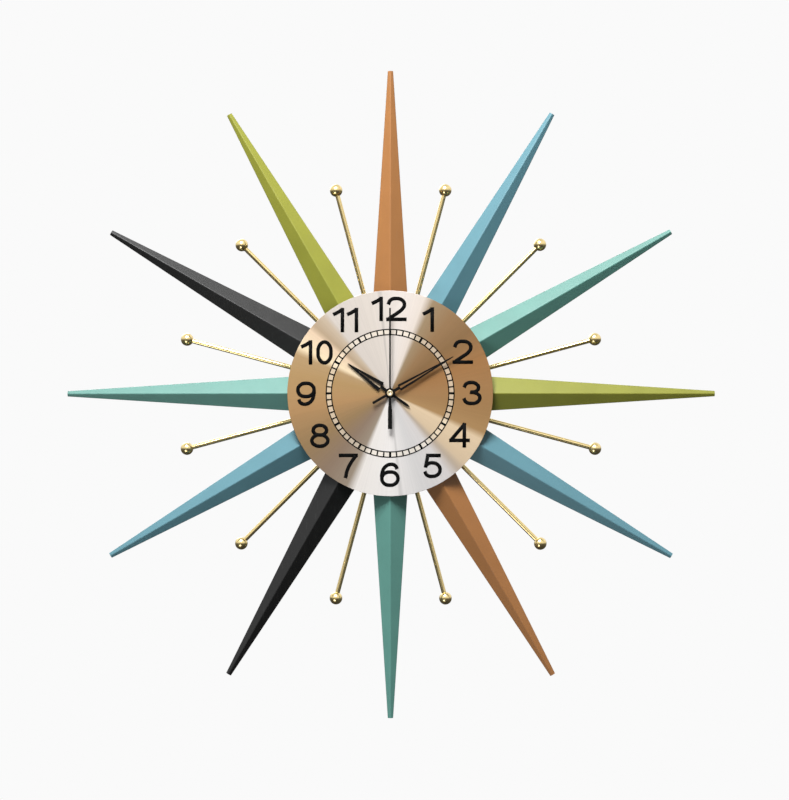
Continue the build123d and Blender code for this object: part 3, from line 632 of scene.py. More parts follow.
@dataclass(frozen=True)
class SunrayDial:
    """Champagne aluminium brushed from the centre, with the lights' sunray reflections painted into
    its colour in wedges round the centre.
    """

    slot: str = "dial_champagne"
    roughness: float = 0.42
    gloss_drift: float = 0.08
    metallic: float = 0.15
    anisotropic: float = 0.6
    depth: float = 0.004
    # Painted reflection: the champagne metal's colour at each clock angle, lightened towards white
    # where the lights' sunray highlights fall and darkened where the dial mirrors nothing bright.
    wedges: tuple[tuple[float, Colour], ...] = (
        (-180.0, linear(228, 224, 221)), (-160.0, linear(224, 219, 214)),
        (-155.0, linear(145, 131, 115)), (-140.0, linear(131, 111, 93)),
        (-122.0, linear(135, 109, 73)), (-100.0, linear(154, 117, 71)),
        (-78.0, linear(158, 126, 79)), (-67.0, linear(164, 135, 95)),
        (-62.5, linear(225, 205, 171)), (-52.0, linear(215, 190, 162)),
        (-48.5, linear(170, 148, 121)), (-41.0, linear(184, 167, 146)),
        (-38.0, linear(199, 190, 182)), (-14.0, linear(205, 196, 187)),
        (8.0, linear(218, 209, 202)), (19.5, linear(216, 205, 195)),
        (25.0, linear(148, 127, 98)), (38.0, linear(137, 106, 71)),
        (52.0, linear(121, 90, 52)), (70.0, linear(138, 94, 43)),
        (98.0, linear(144, 108, 64)), (113.0, linear(157, 123, 79)),
        (117.0, linear(210, 187, 155)), (133.0, linear(202, 180, 150)),
        (138.0, linear(174, 159, 143)), (144.0, linear(203, 198, 196)),
        (160.0, linear(201, 199, 198)), (180.0, linear(228, 224, 221)),
    )
    track: tuple[float, float] = (57.6, 62.8)
    track_colour: Colour = linear(240, 228, 206)
    track_share: float = 0.4
    # Painted shadow of the second hand: a thin darker line through the centre, along the hand and
    # its tail.
    crease_angle: float = -6.0
    crease_tone: float = 0.80
    crease_span: tuple[float, float] = (0.008, 0.03)
    coarse_brushing: float = 25.0
    fine_brushing: float = 4.0
    hair_brushing: float = 1.2
    fine_share: float = 0.65
    brush_span: tuple[float, float] = (0.3, 0.7)
    brush_drift: float = 0.07
    hair_drift: float = 0.03

    def make(self) -> bpy.types.Material:
        """Builds the material.

        Returns:
            The material, named after its slot.
        """
        recipe = Recipe(self.slot)
        parts = recipe.add("SeparateXYZ", {"Vector": recipe.place})
        across, up = parts.outputs["X"], parts.outputs["Z"]
        angle = recipe.sum("ARCTAN2", across, up)
        turn = recipe.span(angle, 0.0, 1.0, -math.pi, math.pi)
        # Painted shadow of the second hand: darker along a thin line through the centre, at the
        # hand's angle and its tail's.
        lean = recipe.sum("SUBTRACT", angle, math.radians(self.crease_angle))
        away = recipe.sum("ABSOLUTE", recipe.sum("SINE", lean))
        crease = recipe.span(away, self.crease_tone, 1.0, *self.crease_span)
        # Paints the reflection wedges by clock angle.
        tones = recipe.add("ValToRGB", {"Fac": turn})
        stops = [((degrees + 180) / 360, colour) for degrees, colour in self.wedges]
        fill_ramp(tones.color_ramp, stops)
        flat = recipe.add("CombineXYZ", {"X": across, "Y": up}).outputs["Vector"]
        spoke = recipe.add("VectorMath", {0: flat}, operation="NORMALIZE").outputs["Vector"]
        coarse = recipe.noise(self.coarse_brushing, 2.0, spoke)
        fine = recipe.noise(self.fine_brushing, 4.0, spoke)
        hair = recipe.noise(self.hair_brushing, 2.0, spoke)
        streak = recipe.sum(
            "ADD",
            recipe.product(coarse, 1 - self.fine_share),
            recipe.product(fine, self.fine_share),
        )
        # Brushing streaks, times the painted shadow of the second hand.
        shade = recipe.product(
            recipe.span(streak, 1 - self.brush_drift, 1 + self.brush_drift, *self.brush_span),
            recipe.span(hair, 1 - self.hair_drift, 1 + self.hair_drift),
            crease,
        )
        # The dial's colour, with its painted reflections and the second hand's painted shadow.
        tint = recipe.blend(1.0, tones.outputs["Color"], shade, "MULTIPLY")
        radius = recipe.add("VectorMath", {0: flat}, operation="LENGTH").outputs["Value"]
        inner, outer = (edge * MM for edge in self.track)
        inside = recipe.sum("GREATER_THAN", radius, inner)
        outside = recipe.sum("LESS_THAN", radius, outer)
        cells = recipe.product(inside, outside, self.track_share)
        gloss = (self.roughness - self.gloss_drift, self.roughness + self.gloss_drift)
        tangent = recipe.add("Tangent", {}, direction_type="RADIAL", axis="Y")
        recipe.set(
            Base_Color=recipe.blend(cells, tint, shaded(self.track_colour)),
            Metallic=self.metallic,
            Roughness=recipe.span(fine, *gloss),
            Anisotropic=self.anisotropic,
            Tangent=tangent.outputs["Tangent"],
            Normal=recipe.relief(fine, self.depth),
        )
        return recipe.material


SLEEVE_BLUE = linear(38, 62, 92)
SLEEVE_PALE = linear(206, 204, 198)
BARE_STEEL = linear(196, 194, 190)


@dataclass(frozen=True)
class CellSleeve:
    """The printed sleeve of the cell, with plain bands and bare steel ends."""

    slot: str = "battery_label"
    half_length: float = 26.0
    bands: tuple[tuple[float, Colour], ...] = (
        (0.0, BARE_STEEL), (0.035, SLEEVE_BLUE), (0.60, SLEEVE_PALE), (0.63, SLEEVE_BLUE),
        (0.66, SLEEVE_PALE), (0.82, SLEEVE_BLUE), (0.955, BARE_STEEL),
    )
    metallic: float = 0.35
    gloss: tuple[float, float] = (0.25, 0.42)
    tint_drift: float = 0.1
    patch: float = 6.0
    gloss_patch: float = 3.0
    grain: float = 0.8
    depth: float = 0.01

    def make(self) -> bpy.types.Material:
        """Builds the material.

        Returns:
            The material, named after its slot.
        """
        recipe = Recipe(self.slot)
        along = recipe.add("SeparateXYZ", {"Vector": recipe.place}).outputs["X"]
        half = self.half_length * MM
        tones = recipe.add("ValToRGB", {"Fac": recipe.span(along, 0.0, 1.0, -half, half)})
        tones.color_ramp.interpolation = "CONSTANT"
        fill_ramp(tones.color_ramp, self.bands)
        drift = recipe.noise(self.patch, 4.0)
        drift = recipe.span(drift, 1 - self.tint_drift, 1 + self.tint_drift)
        recipe.set(
            Base_Color=recipe.blend(1.0, tones.outputs["Color"], drift, "MULTIPLY"),
            Metallic=self.metallic,
            Roughness=recipe.span(recipe.noise(self.gloss_patch, 4.0), *self.gloss),
            Normal=recipe.relief(recipe.noise(self.grain, 3.0), self.depth),
        )
        return recipe.material


class Paint(Enum):
    """The spikes' five paints, by material slot."""

    COPPER = "paint_copper"
    BLUE = "paint_blue"
    MINT = "paint_mint"
    LIME = "paint_lime"
    BLACK = "paint_black"


PAINT_COLOURS = {
    Paint.COPPER: (0.345, 0.150, 0.048),
    Paint.BLUE: (0.108, 0.25, 0.30),
    Paint.MINT: (0.11, 0.28, 0.24),
    Paint.LIME: (0.257, 0.264, 0.037),
    Paint.BLACK: (0.006, 0.006, 0.006),
}
# From one o'clock round to twelve.
SPIKE_PAINTS = (
    Paint.BLUE, Paint.MINT, Paint.LIME, Paint.BLUE, Paint.COPPER, Paint.MINT,
    Paint.BLACK, Paint.BLUE, Paint.MINT, Paint.BLACK, Paint.LIME, Paint.COPPER,
)
# Slot, colour, metallic, roughness, gloss drift, tint drift, patch, grain and depth.
FINISHES = (
    Finish("rod_brass", (0.86, 0.68, 0.32), 1.0, 0.22, 0.05, 0.06, 9.0, 0.5, 0.0015, scuffs=0.1),
    Finish("zinc_steel", (0.62, 0.63, 0.65), 1.0, 0.36, 0.10, 0.10, 6.0, 0.4, 0.01, scuffs=0.2),
    Finish("nut_brass", (0.78, 0.60, 0.30), 1.0, 0.28, 0.06, 0.06, 5.0, 0.4, 0.01, scuffs=0.15),
    Finish("contact_nickel", (0.74, 0.72, 0.68), 1.0, 0.28, 0.06, 0.06, 5.0, 0.3, 0.008),
    Finish("crystal_can", (0.78, 0.79, 0.80), 1.0, 0.22, 0.05, 0.05, 3.0, 0.2, 0.004),
    Finish("stator_iron", (0.42, 0.42, 0.43), 1.0, 0.45, 0.08, 0.10, 4.0, 0.3, 0.01),
    Finish(
        "copper_wire", (0.72, 0.30, 0.12), 0.9, 0.32, 0.06, 0.08, 3.0, 0.12, 0.03,
        stretch=(9.0, 1.0, 1.0),
    ),
    Finish("pan_black", (0.026, 0.026, 0.028), 0.0, 0.46, 0.06, 0.10, 20.0, 0.5, 0.03, scuffs=0.02),
    Finish("foam_pad", (0.050, 0.050, 0.052), 0.0, 0.92, 0.05, 0.20, 3.0, 0.35, 0.16, specular=0.2),
    Finish("carrier_black", (0.035, 0.035, 0.038), 0.0, 0.55, 0.08, 0.08, 12.0, 0.4, 0.03),
    Finish("movement_black", (0.030, 0.030, 0.031), 0.0, 0.52, 0.08, 0.10, 9.0, 0.35, 0.035),
    Finish("train_white", (0.80, 0.80, 0.76), 0.0, 0.35, 0.06, 0.04, 5.0, 0.3, 0.008),
    Finish("board_green", (0.04, 0.22, 0.10), 0.0, 0.38, 0.08, 0.14, 2.0, 0.3, 0.01),
    Finish("magnet", (0.10, 0.10, 0.11), 0.2, 0.60, 0.08, 0.12, 2.0, 0.2, 0.02),
    Finish("gasket_rubber", (0.025, 0.025, 0.026), 0.0, 0.75, 0.06, 0.10, 4.0, 0.3, 0.03),
    Finish(
        "hand_black", (0.004, 0.004, 0.004), 0.0, 0.34, 0.06, 0.10, 7.0, 0.4, 0.003,
        scuffs=0.01, specular=0.12,
    ),
    Finish(
        "dial_ink", (0.003, 0.003, 0.003), 0.0, 0.60, 0.08, 0.15, 4.0, 0.25, 0.003,
        scuffs=0.01, specular=0.04,
    ),
    Finish("hub_gilt", (0.86, 0.72, 0.46), 0.85, 0.30, 0.06, 0.06, 1.5, 0.15, 0.006, scuffs=0.1),
    *(
        Finish(
            paint.value, PAINT_COLOURS[paint], 0.0, 0.42, 0.05, 0.05, 26.0, 1.1, 0.006,
            scuffs=0.03, scuff_colour=(0.3, 0.3, 0.3), specular=0.4,
        )
        for paint in Paint
    ),
)


class PaintShop:
    """Makes every finish of the clock once, and dresses and mounts its pieces."""

    def __init__(self) -> None:
        """Builds all the materials."""
        finishes = (SunrayDial(), CellSleeve(), *FINISHES)
        self.materials = {finish.slot: finish.make() for finish in finishes}

    def fit(
        self, piece: Piece, body: str, slot: str, *nodes: str, finish: str | None = None
    ) -> Piece:
        """Dresses a piece, mounts it on its body and reports it.

        Args:
            piece: The finished mesh. If it has materials already, it keeps them.
            body: The frame body that it rides on.
            slot: The record's material slot.
            nodes: Frame nodes that it stands for.
            finish: The finish, where it isn't the slot's own.

        Returns:
            The piece.
        """
        if not piece.data.materials:
            piece.data.materials.append(self.materials[finish or slot])
        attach(piece, body)
        if nodes:
            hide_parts(*nodes)
        LOG.info("%s on %s, %d faces", piece.name, body, len(piece.data.polygons))
        return piece

    def redress(self, nodes: Iterable[Piece]) -> None:
        """Gives the frame nodes that stay in sight the material of their slot.

        Args:
            nodes: The frame nodes.
        """
        for node in nodes:
            for holder in node.material_slots:
                base = holder.material.name.split(".")[0]
                if base in self.materials:
                    holder.material = self.materials[base]
            LOG.info("%s redressed", node.name)


# ---- sunburst ------------------------------------------------------------------------
def push_back(rise: float) -> None:
    """Moves what is selected towards the wall, by metres."""
    bpy.ops.transform.translate(value=(0.0, rise, 0.0))


@dataclass
class SpikeBurst:
    """Twelve folded and painted spikes, screwed to the pan by their foot strips."""

    slope: float = 34.0
    sheet: float = 1.2
    root_radius: float = 76.0
    tip_half_width: float = 2.65
    tip_flange: float = 1.4
    ridge_fold: float = 0.9
    ridge_steps: int = 4
    flange_fold: float = 0.5
    flange_steps: int = 3
    foot_width: float = 14.0
    foot_thickness: float = 2.5
    foot_ends: tuple[float, float] = (58.0, 96.0)
    screw_radii: tuple[float, float] = (64.0, 84.0)
    screw_hole: float = 1.55
    drill_length: float = 20.0
    edge: float = 0.12
    edge_angle: float = 40.0
    low: Vector = field(init=False)
    high: Vector = field(init=False)
    root: float = field(init=False)
    shoulder: float = field(init=False)
    tip_shoulder: float = field(init=False)

    def __post_init__(self) -> None:
        """Works out the spike's own places from the frame, in metres."""
        self.low, self.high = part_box("spike_12")
        self.root = self.root_radius * MM
        self.shoulder = self.low.y + self.high.x * math.tan(math.radians(self.slope))
        self.tip_shoulder = self.high.y - self.tip_flange * MM

    def between(self, centre: Vector) -> bool:
        """Says whether a centre lies clear of both ends."""
        return self.root + MM < centre.z < self.high.z - MM

    def strip(self) -> Piece:
        """Draws the strip, tapers it to the tip and folds it along its ridge.

        Returns:
            The strip, in edit mode.
        """
        root, half, tip = self.root, self.high.x, self.high.z
        slope = math.tan(math.radians(self.slope))
        tip_half = self.tip_half_width * MM
        middle = (0.0, self.shoulder, (root + tip) / 2)
        clear_bench()
        bpy.ops.mesh.primitive_plane_add(
            size=1.0, location=middle, rotation=(QUARTER_TURN, 0.0, 0.0)
        )
        spike = name_new("spike_pattern")
        spike.scale = (2 * half, tip - root, 1.0)
        settle(spike)
        edit(spike)
        pick(spike, Element.EDGE, lambda c: abs(c.x) < SEAM)
        bpy.ops.mesh.subdivide(number_cuts=1)
        pick(spike, Element.CORNER, lambda c: c.z > tip - SEAM)
        bpy.ops.transform.resize(value=(tip_half / half, 1.0, 1.0), center_override=(0.0, 0.0, tip))
        push_back(self.tip_shoulder - self.shoulder)
        pick(spike, Element.CORNER, lambda c: abs(c.x) < SEAM and c.z > tip - SEAM)
        push_back(-tip_half * slope)
        pick(spike, Element.CORNER, lambda c: abs(c.x) < SEAM and c.z < root + SEAM)
        push_back(-half * slope)
        return spike

    def add_flanges(self, spike: Piece) -> None:
        """Drops the flanges to the back plane and closes both ends.

        Args:
            spike: The folded strip, in edit mode.
        """
        back, half = self.high.y, self.high.x
        pick(spike, Element.EDGE, lambda c: abs(c.x) > half / 2 and self.between(c))
        drop = (0.0, back - self.shoulder, 0.0)
        bpy.ops.mesh.extrude_edges_move(TRANSFORM_OT_translate={"value": drop})
        pick(spike, Element.CORNER, lambda c: c.y > back + SEAM)
        push_back(self.shoulder - self.tip_shoulder)
        for end in (self.root, self.high.z):
            pick(spike, Element.CORNER, lambda c, z=end: abs(c.z - z) < SEAM)
            bpy.ops.mesh.edge_face_add()

    def round_folds(self, spike: Piece) -> None:
        """Rounds the ridge and the flanges' folds, as in bent sheet.

        Args:
            spike: The strip with its flanges, in edit mode.
        """
        front, third = self.high.y - MM, self.high.x / 3
        pick(spike, Element.EDGE, lambda c: abs(c.x) < SEAM and self.between(c))
        fold, steps = self.ridge_fold * MM, self.ridge_steps
        bpy.ops.mesh.bevel(offset=fold, segments=steps, affect="EDGES")
        pick(spike, Element.EDGE, lambda c: abs(c.x) > third and c.y < front and self.between(c))
        fold, steps = self.flange_fold * MM, self.flange_steps
        bpy.ops.mesh.bevel(offset=fold, segments=steps, affect="EDGES")

    def model(self) -> Piece:
        """Makes the spike that points to twelve.

        Returns:
            The spike, with its foot.
        """
        spike = self.strip()
        self.add_flanges(spike)
        self.round_folds(spike)
        close_seams()
        work(spike, "SOLIDIFY", thickness=self.sheet * MM, offset=-1.0, use_even_offset=True)
        combine(spike, self.foot(self.high.y), Joinery.WELD)
        soften(spike, self.edge, limit=self.edge_angle)
        return spike

    def foot(self, back: float) -> Piece:
        """Makes the drilled foot strip.

        Args:
            back: The y of its back, in metres.

        Returns:
            The strip.
        """
        half = self.foot_width / 2 * MM
        low = Vector((-half, back - self.foot_thickness * MM, self.foot_ends[0] * MM))
        high = Vector((half, back, self.foot_ends[1] * MM))
        strip = block("foot_strip", low, high)
        for radius in self.screw_radii:
            middle = Vector((0.0, back, radius * MM))
            drill = cylinder("drill", HOLE_SIDES, self.screw_hole, self.drill_length, middle, True)
            combine(strip, drill, Joinery.CUT)
        return strip

    def build(self, shop: PaintShop) -> None:
        """Copies the spike to every hour and paints it.

        Args:
            shop: The shop that dresses and mounts the pieces.
        """
        pattern = self.model()
        for hour, paint in enumerate(SPIKE_PAINTS, 1):
            spike = copied(pattern, f"painted_spike_{hour:02d}", hour * HOUR_ANGLE)
            shop.fit(spike, BODY, paint.value, f"spike_{hour:02d}")
        discard(pattern)


@dataclass
class RodBurst:
    """Twelve brass rods with bored balls on their ends and nuts inside the pan."""

    rod_radius: float = 2.3
    spigot_radius: float = 1.95
    spigot_start: float = 86.5
    shoulder: float = 92.1
    ball_radius: float = 6.25
    socket: float = 2.35
    socket_depth: float = 4.5
    socket_gap: float = 0.05
    mouth_lip: float = 0.2
    mouth_turn: float = 0.05
    chamfer: float = 0.25
    thread_pitch: float = 0.5
    thread_depth: float = 0.22
    thread_past_nut: float = 0.9
    nut_flats: float = 7.0
    nut_thickness: float = 3.2
    nut_seat: float = 90.6
    tap_gap: float = 0.05
    tap_length: float = 10.0
    rod_steps: int = 40
    ball_steps: int = 26
    ball_sides: int = 48
    rod_crease: float = 28.0
    ball_crease: float = 40.0
    nut_edge_angle: float = 40.0
    origin: Vector = field(init=False)

    def __post_init__(self) -> None:
        """Finds where the rods' plane meets the hands' axis, in metres."""
        low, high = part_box("ball_finials")
        self.origin = Vector((0.0, (low.y + high.y) / 2, 0.0))

    def rod(self, end: float) -> Piece:
        """Turns the rod that points to twelve, with its thread.

        Args:
            end: How far out it ends, in mm.

        Returns:
            The rod.
        """
        root = self.spigot_radius - self.thread_depth
        profile = [(0.0, self.spigot_start)]
        reach = self.spigot_start
        while reach < self.nut_seat + self.thread_past_nut:
            profile += [(root, reach), (self.spigot_radius, reach + self.thread_pitch / 2)]
            reach += self.thread_pitch
        profile += [
            (root, self.shoulder),
            (self.rod_radius - self.chamfer, self.shoulder),
            (self.rod_radius, self.shoulder + self.chamfer),
            (self.rod_radius, end - self.chamfer),
            (self.rod_radius - self.chamfer, end),
            (0.0, end),
        ]
        rod = turned("rod_pattern", profile, self.origin, UP, steps=self.rod_steps)
        even_shading(rod, self.rod_crease)
        return rod

    def ball(self, centre: float, end: float) -> Piece:
        """Turns the ball of the rod that points to twelve.

        Args:
            centre: How far out its centre is, in mm.
            end: How far out the rod ends in its socket.

        Returns:
            The ball.
        """
        mouth = math.asin(self.socket / self.ball_radius)
        floor = end + self.socket_gap
        opening = centre - self.ball_radius * math.cos(mouth) + self.mouth_lip
        profile = [(0.0, floor), (self.socket, floor), (self.socket, opening)]
        first = mouth + self.mouth_turn
        for step in range(self.ball_steps + 1):
            turn = first + (math.pi - first) * step / self.ball_steps
            radius = 0.0 if step == self.ball_steps else self.ball_radius * math.sin(turn)
            profile.append((radius, centre - self.ball_radius * math.cos(turn)))
        ball = turned("ball_pattern", profile, self.origin, UP, steps=self.ball_sides)
        even_shading(ball, self.ball_crease)
        return ball

    def nut(self) -> Piece:
        """Makes the hexagon nut of the rod that points to twelve.

        Returns:
            The nut.
        """
        middle = self.origin + UP * (self.nut_seat - self.nut_thickness / 2) * MM
        corner = self.nut_flats / 2 / math.cos(math.pi / HEXAGON)
        bore = self.spigot_radius + self.tap_gap
        nut = cylinder("nut_pattern", HEXAGON, corner, self.nut_thickness, middle)
        tap = cylinder("tap", HOLE_SIDES, bore, self.tap_length, middle)
        combine(nut, tap, Joinery.CUT)
        soften(nut, self.chamfer, limit=self.nut_edge_angle)
        return nut

    def build(self, shop: PaintShop) -> None:
        """Copies the rod, ball and nut to the twelve half hours.

        Args:
            shop: The shop that dresses and mounts the pieces.
        """
        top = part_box("ball_finials")[1].z / MM - self.ball_radius
        centre = top / math.cos(math.radians(HOUR_ANGLE / 2))
        end = centre - self.ball_radius + self.socket_depth
        rod, ball, nut = self.rod(end), self.ball(centre, end), self.nut()
        nuts = []
        for number in range(1, HOURS + 1):
            angle = (number - 0.5) * HOUR_ANGLE
            made = copied(rod, f"brass_rod_{number:02d}", angle)
            shop.fit(made, BODY, "rod_brass", f"rod_{number:02d}")
            made = copied(ball, f"polished_ball_{number:02d}", angle)
            shop.fit(made, BODY, "rod_brass", "ball_finials")
            nuts.append(copied(nut, f"rod_nut_{number:02d}", angle))
        shop.fit(joined(nuts, "hexagon_rod_nuts"), BODY, "zinc_steel", "rod_nuts")
        discard(rod, ball, nut)


# ---- dial ----------------------------------------------------------------------------
class Line(Enum):
    """How a numeral's stroke runs through its points."""

    STRAIGHT = "straight"
    CURVED = "curved"
    LOOP = "loop"


@dataclass(frozen=True)
class Stroke:
    """One stroke of a numeral, on a box that is one wide and one high."""

    line: Line
    points: Outline
    square_start: bool = False
    square_end: bool = False


def bar(*points: tuple[float, float], square_start: bool = True) -> Stroke:
    """Gives a straight stroke whose end, and usually start, is square."""
    return Stroke(Line.STRAIGHT, points, square_start, True)


def curve(*points: tuple[float, float], square_end: bool = False) -> Stroke:
    """Gives a curved stroke."""
    return Stroke(Line.CURVED, points, False, square_end)


def loop(*points: tuple[float, float]) -> Stroke:
    """Gives a closed stroke."""
    return Stroke(Line.LOOP, points)


def upside_down(strokes: Sequence[Stroke]) -> tuple[Stroke, ...]:
    """Turns a numeral half round.

    Args:
        strokes: The numeral's strokes.

    Returns:
        The turned numeral's strokes.
    """
    return tuple(
        Stroke(stroke.line, [(1 - u, 1 - v) for u, v in stroke.points]) for stroke in strokes
    )


SIX = (
    curve((0.95, 0.77), (0.84, 0.93), (0.55, 1.0), (0.18, 0.86), (0.0, 0.50), (0.0, 0.33)),
    loop(
        (0.0, 0.33), (0.13, 0.09), (0.50, 0.0), (0.86, 0.09), (1.0, 0.31), (0.87, 0.55),
        (0.52, 0.635), (0.15, 0.55),
    ),
)
NUMERAL_STROKES: dict[str, tuple[Stroke, ...]] = {
    "0": (
        loop(
            (0.5, 1.0), (0.88, 0.84), (1.0, 0.5), (0.88, 0.16), (0.5, 0.0), (0.12, 0.16),
            (0.0, 0.5), (0.12, 0.84),
        ),
    ),
    "1": (bar((1.0, 1.0), (1.0, 0.0)), curve((0.97, 1.0), (0.52, 0.87), (0.0, 0.76))),
    "2": (
        curve(
            (0.02, 0.71), (0.15, 0.92), (0.5, 1.0), (0.86, 0.91), (0.98, 0.71), (0.86, 0.50),
            (0.50, 0.27), (0.16, 0.09), (0.03, 0.0),
        ),
        bar((0.0, 0.0), (1.0, 0.0)),
    ),
    "3": (
        curve(
            (0.02, 0.76), (0.15, 0.93), (0.46, 1.0), (0.80, 0.92), (0.91, 0.76), (0.79, 0.59),
            (0.42, 0.54),
        ),
        curve(
            (0.38, 0.54), (0.82, 0.47), (1.0, 0.27), (0.85, 0.07), (0.47, 0.0), (0.13, 0.07),
            (0.0, 0.25),
        ),
    ),
    "4": (
        Stroke(Line.STRAIGHT, ((0.76, 1.0), (0.0, 0.27)), True, False),
        bar((0.0, 0.255), (1.0, 0.255)),
        bar((0.78, 1.0), (0.78, 0.0)),
    ),
    "5": (
        bar((0.20, 1.0), (0.93, 1.0)),
        bar((0.20, 1.0), (0.07, 0.50), square_start=False),
        curve(
            (0.07, 0.51), (0.24, 0.61), (0.50, 0.65), (0.86, 0.55), (1.0, 0.33), (0.86, 0.09),
            (0.48, 0.0), (0.13, 0.07), (0.0, 0.24),
        ),
    ),
    "6": SIX,
    "7": (
        bar((0.0, 1.0), (1.0, 1.0)),
        curve((0.98, 0.98), (0.68, 0.66), (0.44, 0.31), (0.34, 0.0), square_end=True),
    ),
    "8": (
        loop(
            (0.5, 1.0), (0.80, 0.93), (0.92, 0.77), (0.80, 0.60), (0.5, 0.54), (0.20, 0.60),
            (0.08, 0.77), (0.20, 0.93),
        ),
        loop(
            (0.5, 0.54), (0.86, 0.46), (1.0, 0.27), (0.86, 0.08), (0.5, 0.0), (0.14, 0.08),
            (0.0, 0.27), (0.14, 0.46),
        ),
    ),
    "9": upside_down(SIX),
}
DIGIT_WIDTHS = {
    "0": 16.3, "1": 12.8, "2": 20.2, "3": 19.4, "4": 20.4, "5": 18.6, "6": 19.4,
    "7": 18.8, "8": 19.2, "9": 19.4,
}
NUMERAL_WIDTHS = {10: 32.9, 11: 26.6, 12: 36.0}
NUMERAL_CENTRES = {
    1: (36.8, 72.4), 2: (71.3, 40.8), 3: (80.2, 0.3), 4: (68.1, -41.2), 5: (41.5, -71.3),
    6: (-0.2, -80.0), 7: (-41.0, -71.2), 8: (-69.0, -41.7), 9: (-82.7, -0.4),
    10: (-72.8, 40.2), 11: (-44.6, 72.0), 12: (-1.8, 82.9),
}


@dataclass
class DialAssembly:
    """The brushed disc, its raised-ink numerals and minute track, and its carrier."""

    hole: float = 4.3
    disc_steps: int = 192
    rim_edge: float = 0.22
    rim_steps: int = 3
    rim_angle: float = 40.0
    numeral_height: float = 24.1
    stroke_width: float = 3.6
    curve_steps: int = 6
    ink: float = 0.10
    sunk: float = 0.03
    layer: float = 0.012
    circles: tuple[float, float] = (57.6, 62.8)
    circle_width: float = 1.1
    circle_steps: int = 180
    tick_width: float = 1.35
    hour_tick_width: float = 2.2
    hour_tick_reach: float = 0.4
    carrier_edge: float = 0.3
    front: float = field(init=False)

    def __post_init__(self) -> None:
        """Takes the height of the dial's face from the frame."""
        self.front = -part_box("dial")[0].y / MM

    def disc(self) -> Piece:
        """Turns the disc with its centre hole.

        Returns:
            The disc.
        """
        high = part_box("dial")[1]
        profile = rectangle(self.hole, -high.y / MM, high.x / MM, self.front)
        disc = turned("brushed_dial", profile, steps=self.disc_steps)
        soften(disc, self.rim_edge, self.rim_steps, self.rim_angle)
        return disc

    def digit(self, character: str, left: float, bottom: float, pen: Piece) -> Piece:
        """Draws one digit, each stroke a hair prouder than the one before.

        Args:
            character: The digit.
            left: The left side of its box, in mm across from the axis.
            bottom: The foot of its box, in mm up from the axis.
            pen: The ribbon's section, a flat closed curve.

        Returns:
            The digit, standing on the dial's face.
        """
        wide = DIGIT_WIDTHS[character] - self.stroke_width
        high = self.numeral_height - self.stroke_width
        half = self.stroke_width / 2
        ribbons = []
        for layer, stroke in enumerate(NUMERAL_STROKES[character]):
            points = [
                Vector((left + half + u * wide, bottom + half + v * high, 0.0))
                for u, v in stroke.points
            ]
            if stroke.square_start:
                points[0] = points[0] + (points[0] - points[1]).normalized() * half
            if stroke.square_end:
                points[-1] = points[-1] + (points[-1] - points[-2]).normalized() * half
            height = self.front + layer * self.layer
            ribbons.append(self.ribbon(points, stroke.line, pen, height))
        return joined(ribbons, f"digit_{character}")

    def ribbon(self, points: Sequence[Vector], line: Line, pen: Piece, height: float) -> Piece:
        """Runs the pen's section along a stroke.

        Args:
            points: The stroke's points, in mm, flat.
            line: How the stroke runs through them.
            pen: The section.
            height: Where the ribbon's foot lies above the wall, in mm.

        Returns:
            The ribbon, as a closed mesh.
        """
        clear_bench()
        bpy.ops.curve.primitive_bezier_curve_add(radius=MM)
        drawn = name_new("ribbon")
        path = drawn.data
        path.splines.clear()
        spline = path.splines.new("BEZIER")
        spline.bezier_points.add(len(points) - 1)
        handle = "VECTOR" if line is Line.STRAIGHT else "AUTO"
        for corner, point in zip(spline.bezier_points, points):
            corner.co = point * MM
            corner.handle_left_type = corner.handle_right_type = handle
        spline.use_cyclic_u = line is Line.LOOP
        path.dimensions = "2D"
        path.fill_mode = "NONE"
        path.resolution_u = self.curve_steps
        path.bevel_mode = "OBJECT"
        path.bevel_object = pen
        path.use_fill_caps = True
        take(drawn)
        bpy.ops.object.convert(target="MESH")
        drawn = bpy.context.object
        drawn.location = ROOM * height * MM
        drawn.rotation_euler = (QUARTER_TURN, 0.0, 0.0)
        settle(drawn)
        edit(drawn)
        close_seams()
        return drawn

    def pen(self) -> Piece:
        """Draws the ribbon's section: the stroke's width by the ink's thickness.

        Returns:
            The section, a flat closed curve.
        """
        clear_bench()
        bpy.ops.curve.primitive_bezier_curve_add(radius=MM)
        pen = name_new("pen")
        pen.data.splines.clear()
        spline = pen.data.splines.new("POLY")
        half = self.stroke_width / 2
        lip = self.ink / 3
        corners = (
            (-half, -self.sunk), (half, -self.sunk), (half, self.ink - lip),
            (half - lip, self.ink), (lip - half, self.ink), (-half, self.ink - lip),
        )
        spline.points.add(len(corners) - 1)
        for point, (across, up) in zip(spline.points, corners):
            point.co = (across * MM, up * MM, 0.0, 1.0)
        spline.use_cyclic_u = True
        return pen

    def numeral(self, hour: int, pen: Piece) -> Piece:
        """Sets an hour's numeral upright at its place on the dial.

        Args:
            hour: The hour.
            pen: The ribbons' section.

        Returns:
            The numeral.
        """
        text = str(hour)
        width = NUMERAL_WIDTHS.get(hour, DIGIT_WIDTHS[text[0]])
        across, up = NUMERAL_CENTRES[hour]
        left, bottom = across - width / 2, up - self.numeral_height / 2
        digits = [self.digit(text[0], left, bottom, pen)]
        if len(text) > 1:
            right = across + width / 2 - DIGIT_WIDTHS[text[1]]
            digits.append(self.digit(text[1], right, bottom, pen))
        return joined(digits, f"numeral_{hour:02d}")

    def tick(self, name: str, width: float, reach: float = 0.0) -> Piece:
        """Cuts one tick of the minute track, at twelve.

        Args:
            name: The tick's name.
            width: Its width, in mm.
            reach: How far it passes the circles' middles at both ends.

        Returns:
            The tick.
        """
        inner, outer = self.circles
        outline = rectangle(-width / 2, inner - reach, width / 2, outer + reach)
        return cut_sheet(name, outline, self.front - self.sunk, self.front + self.ink)

